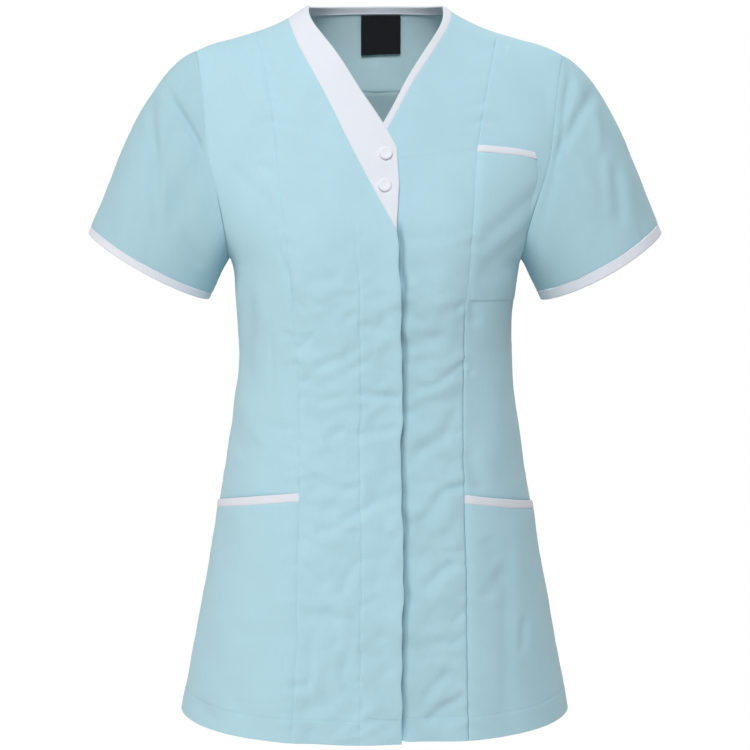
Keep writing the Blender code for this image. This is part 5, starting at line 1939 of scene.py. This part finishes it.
def finish_tube(name, outer, inner, facing, around, down, material):
    """The mesh of a tube, and the record of its distances."""
    cut = np.stack([around, -wrapped(down)], -1)
    piece = grid_mesh(name + "_cloth", outer, inner, cut, material, "right" in name, closed=True)
    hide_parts(name)
    left, right = around[:, :-1], around[:, -1:] - around[:, :-1]
    CLOTHS[name] = Cloth(outer, facing, left, right, down, down[-1:] - down)
    print(name, outer.shape[:2], "area", round(area_of(wrapped(outer)), 4))


for side in SIGN:
    lines, out = sleeve_lines(side)
    make_sleeve(side, lines, out)
    make_cuff_binding(side, lines, out)

# %% [markdown]
# ## Studs
#
# The two studs are the caps of press studs on the point of the neck band. A real cap is pressed
# from resin and comes out round, with a shallow dish in its top. The same shape is turned here:
# one profile spun about the line that faces straight out of the band.

# %% Studs
Stud = namedtuple("Stud", "name x z")
STUDS = [Stud("stud_upper", 0.0106, -0.1405), Stud("stud_lower", 0.0096, -0.1707)]
STUD_RADIUS, STUD_HEIGHT = 0.0066, 0.0032
StudRing = namedtuple("StudRing", "radius height")
STUD_PROFILE = [
    StudRing(0.80, 0.00),
    StudRing(0.93, 0.06),
    StudRing(0.985, 0.22),
    StudRing(1.00, 0.42),
    StudRing(0.985, 0.62),
    StudRing(0.94, 0.80),
    StudRing(0.87, 0.93),
    StudRing(0.79, 0.99),
    StudRing(0.71, 1.00),
    StudRing(0.64, 0.97),
    StudRing(0.56, 0.93),
    StudRing(0.40, 0.89),
    StudRing(0.20, 0.87),
]
STUD_STEPS = 72
STUD_CENTRE = STUD_PROFILE[-1].height

stud_enamel = bpy.data.materials.new("stud_enamel")
stud_enamel.use_nodes = True
tree = stud_enamel.node_tree
enamel = tree.nodes["Principled BSDF"]
enamel.inputs["Base Color"].default_value = (0.83, 0.855, 0.90, 1)
enamel.inputs["Specular IOR Level"].default_value = 0.3
mottle = tree.nodes.new("ShaderNodeTexNoise")
mottle.inputs["Scale"].default_value = 900.0
gloss = tree.nodes.new("ShaderNodeMapRange")
gloss.inputs["To Min"].default_value = 0.50
gloss.inputs["To Max"].default_value = 0.62
where = tree.nodes.new("ShaderNodeTexCoord")
tree.links.new(where.outputs["Object"], mottle.inputs["Vector"])
tree.links.new(mottle.outputs[0], gloss.inputs["Value"])
tree.links.new(gloss.outputs["Result"], enamel.inputs["Roughness"])


def make_stud(stud):
    across = across_of(np.array([stud.x]), np.array([stud.z]))
    point, out = form_points("front", across, np.array([stud.z]))
    axis = out[0]
    seat = point[0] + axis * (TRIM_PROUD + LAYER_GAP)
    aside = unit(np.cross(axis, [0.0, 0.0, 1.0]))
    up = np.cross(aside, axis)
    turn = np.linspace(0, 2 * np.pi, STUD_STEPS, endpoint=False)[:, None]
    circle = np.cos(turn) * aside + np.sin(turn) * up
    rings = [
        seat + axis * ring.height * STUD_HEIGHT + circle * ring.radius * STUD_RADIUS
        for ring in STUD_PROFILE
    ]
    points = np.concatenate([[seat], *rings, [seat + axis * STUD_CENTRE * STUD_HEIGHT]])
    faces = []
    last = len(points) - 1
    top = 1 + (len(rings) - 1) * STUD_STEPS
    for i in range(STUD_STEPS):
        j = (i + 1) % STUD_STEPS
        faces.append((0, 1 + i, 1 + j))
        faces.append((top + j, top + i, last))
        for low in range(1, top, STUD_STEPS):
            faces.append((low + j, low + i, low + STUD_STEPS + i, low + STUD_STEPS + j))
    mesh = bpy.data.meshes.new(stud.name)
    mesh.from_pydata(points.tolist(), [], faces)
    mesh.shade_smooth()
    mesh.materials.append(stud_enamel)
    piece = bpy.data.objects.new(stud.name + "_cap", mesh)
    bpy.context.scene.collection.objects.link(piece)
    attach(piece, "root")
    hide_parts(stud.name)
    print(stud.name, len(faces), "faces, facing", axis.round(2))


for stud in STUDS:
    make_stud(stud)

# %% [markdown]
# ## Label
#
# A label is woven tape, folded in two and sewn in under the back neck binding. It hangs free of
# the yoke by a millimetre or two. It is a small panel of the back like the others, and stays
# bare black.

# %% Label
LABEL_RIGHT_X, LABEL_LEFT_X = -0.0145, 0.0262
LABEL_TOP_Z, LABEL_LOW_Z = -0.0085, -0.0490
LABEL_SLANT = 0.0020
LABEL_CLEAR, LABEL_LOWER_CLEAR, LABEL_FALL = 0.0026, 0.0006, 0.03


def label_grid(u, row):
    x = LABEL_RIGHT_X + (LABEL_LEFT_X - LABEL_RIGHT_X) * u
    z = LABEL_TOP_Z + (LABEL_LOW_Z - LABEL_TOP_Z + LABEL_SLANT * u) * row
    return across_of(x, z), z


make_panel(
    "label",
    "back",
    label_grid,
    rows=crowded(LABEL_TOP_Z - LABEL_LOW_Z, 20),
    cols=22,
    kinds=("fold", "fold", "fold", "fold"),
    material=BLACK,
    lift=lambda x, z, cloth: -LABEL_CLEAR - LABEL_LOWER_CLEAR * ease(cloth.top / LABEL_FALL),
    thickness=0.0008,
)

# %% [markdown]
# ## Stitching
#
# A row of lockstitches is a line of short raised threads with a dip between each two. Each
# stitch is a small mesh that is thick in the middle and dives into the cloth at both ends. The
# line is read off the finished cloth, so the stitches follow every pucker.

# %% Stitch maker
STITCH_LENGTH = 0.0026
STITCH_STEP = 0.0031
THREAD_RADIUS = 0.00021
THREAD_TAPER, THREAD_RISE, THREAD_SINK, THREAD_END = 0.35, 1.5, 0.9, 0.04
STITCH_RINGS = 5
STITCH_SIDES = 6
END_QUADS = ((0, 1, 2, 3), (3, 4, 5, 0))


def line_on(cloth, measure, value, down):
    """Where a measure reaches a value: once on every row if down, else once on every column."""
    points, normals, amount = cloth.points, cloth.normals, measure
    if not down:
        points, normals, amount = points.swapaxes(0, 1), normals.swapaxes(0, 1), amount.T
    line, facing = [], []
    for row in range(len(points)):
        order = slice(None) if amount[row, 0] < amount[row, -1] else slice(None, None, -1)
        if not amount[row].min() < value < amount[row].max():
            continue
        line.append([np.interp(value, amount[row, order], points[row, order, k]) for k in range(3)])
        facing.append([np.interp(value, amount[row, order], normals[row, order, k]) for k in range(3)])
    return np.array(line), unit(np.array(facing))


def stitches_on(line, facing):
    """Points and faces of a row of stitches along a line."""
    length = run_length(line, 0)
    starts = np.arange(0, length[-1] - STITCH_LENGTH, STITCH_STEP)
    t = np.linspace(0, 1, STITCH_RINGS)
    places = (starts[:, None] + STITCH_LENGTH * t).ravel()
    centre = np.stack([np.interp(places, length, line[:, k]) for k in range(3)], -1)
    out = unit(np.stack([np.interp(places, length, facing[:, k]) for k in range(3)], -1))
    centre = centre.reshape(-1, STITCH_RINGS, 3)
    out = out.reshape(-1, STITCH_RINGS, 3)
    way = unit(np.gradient(centre, axis=1))
    aside = unit(np.cross(way, out))
    bulge = np.sin(np.pi * np.clip(t, THREAD_END, 1 - THREAD_END))[None, :, None]
    centre = centre + out * (bulge * THREAD_RISE - THREAD_SINK) * THREAD_RADIUS
    turn = np.linspace(0, 2 * np.pi, STITCH_SIDES, endpoint=False)[None, None, :, None]
    thick = THREAD_RADIUS * (THREAD_TAPER + (1 - THREAD_TAPER) * bulge)[:, :, None]
    circle = np.cos(turn) * aside[:, :, None] + np.sin(turn) * out[:, :, None]
    rings = centre[:, :, None] + circle * thick
    count = len(starts)
    index = np.arange(count * STITCH_RINGS * STITCH_SIDES).reshape(count, STITCH_RINGS, STITCH_SIDES)
    near, far = index[:, :-1], index[:, 1:]
    sides = np.stack([near, np.roll(near, -1, 2), np.roll(far, -1, 2), far], -1).reshape(-1, 4)
    starts_closed = [index[:, 0, quad[::-1]] for quad in END_QUADS]
    ends_closed = [index[:, -1, quad] for quad in END_QUADS]
    return rings.reshape(-1, 3), np.concatenate([sides, *starts_closed, *ends_closed])


def make_stitching(name, runs, material):
    """One piece that holds several rows of stitches."""
    all_points, all_faces, start = [], [], 0
    for line, facing in runs:
        points, faces = stitches_on(line, facing)
        all_points.append(points)
        all_faces.append(faces + start)
        start += len(points)
    points, faces = np.concatenate(all_points), np.concatenate(all_faces)
    uvs = points[faces][..., [0, 2]]
    piece = mesh_piece(name, points, faces, material, uvs)
    print(name, len(faces), "faces")


# %% [markdown]
# ## The placket's stitches
#
# The longest row holds the fly placket. It runs down beside the free edge, turns the corner
# above the hem and ends at the edge. A bartack, a short bar of close stitches, strengthens its
# top. The turn is given as listed points, as no edge of the panel runs beside it.

# %% The placket's stitches
def kept(run, keep):
    line, facing = run
    chosen = keep(line)
    return line[chosen], facing[chosen]


def surface_line(cloth, places):
    """Points of the cloth's face over a list of x and z, each from the nine nearest mesh points."""
    line, facing = [], []
    for x, z in places:
        away = np.hypot(cloth.points[..., 0] - x, cloth.points[..., 2] - z)
        i, j = np.unravel_index(away[1:-1, 1:-1].argmin(), away[1:-1, 1:-1].shape)
        near = cloth.points[i : i + 3, j : j + 3].reshape(-1, 3)
        plane = np.stack([near[:, 0] - x, near[:, 2] - z, np.ones(len(near))], -1)
        line.append((x, np.linalg.lstsq(plane, near[:, 1], rcond=None)[0][2], z))
        facing.append(cloth.normals[i + 1, j + 1])
    return np.array(line), np.array(facing)


PLACKET_START_Z, PLACKET_TURN_Z = -0.2235, -0.660
PLACKET_CORNER = [
    (-0.0135, -0.6620),
    (-0.0132, -0.6700),
    (-0.0118, -0.6760),
    (-0.0085, -0.6810),
    (-0.0035, -0.6835),
    (0.0050, -0.6842),
    (0.0150, -0.6845),
    (0.0245, -0.6848),
]
BARTACK_X, BARTACK_Z, BARTACK_STITCH, BARTACK_STEP = (-0.0242, -0.0122), -0.2192, 0.0022, 0.0008
right = CLOTHS["front_centre_right"]
placket_line = line_on(right, right.left, PLACKET_LINE, True)
placket = kept(placket_line, lambda p: (p[:, 2] < PLACKET_START_Z) & (p[:, 2] > PLACKET_TURN_Z))
placket_runs = [placket, surface_line(right, PLACKET_CORNER)]
for x in np.arange(*BARTACK_X, BARTACK_STEP):
    top = BARTACK_Z + BARTACK_STITCH / 2
    placket_runs.append(surface_line(right, [(x, top), (x + BARTACK_STEP / 2, top - BARTACK_STITCH)]))
make_stitching("placket_stitching", placket_runs, BLUE_THREAD)

# %% [markdown]
# ## Hem, pocket and trim stitches
#
# The other rows follow an edge at a fixed distance: one turn of the hem, and just inside the
# edges of the chest pocket and of every white trim.

# %% Hem, pocket and trim stitches
POCKET_STITCH_IN, MOUTH_STITCH_IN, BINDING_STITCH_IN = 0.0018, 0.0011, 0.0012
HEMMED = ("front_centre_right", "front_centre_left", "lower_pocket_right", "lower_pocket_left", "back_body")


def edge_run(name, edge, distance):
    """A row of stitches along one edge of a piece: left and right run down, top and low across."""
    cloth = CLOTHS[name]
    return line_on(cloth, getattr(cloth, edge), distance, edge in ("left", "right"))


make_stitching("hem_stitching", [edge_run(name, "low", HEM_TURN) for name in HEMMED], BLUE_THREAD)
pocket_runs = [edge_run("chest_pocket", edge, POCKET_STITCH_IN) for edge in ("right", "low")]
make_stitching("pocket_stitching", pocket_runs, BLUE_THREAD)
mouths = [name.replace("pocket", "pocket_trim") for name in POCKETS]
trim_runs = [edge_run(name, "low", MOUTH_STITCH_IN) for name in mouths]
trim_runs += [edge_run(name, "right", BINDING_STITCH_IN) for name in ("neck_binding_left", "neck_band")]
trim_runs += [edge_run(f"sleeve_binding_{side}", "top", BINDING_STITCH_IN) for side in SIGN]
make_stitching("trim_stitching", trim_runs, WHITE_THREAD)

# %% [markdown]
# ## Cut sheets
#
# A cut sheet's record holds its width, its length, its area and its trims.

# %% Cut sheet record
Cut = namedtuple("Cut", "width length area trims")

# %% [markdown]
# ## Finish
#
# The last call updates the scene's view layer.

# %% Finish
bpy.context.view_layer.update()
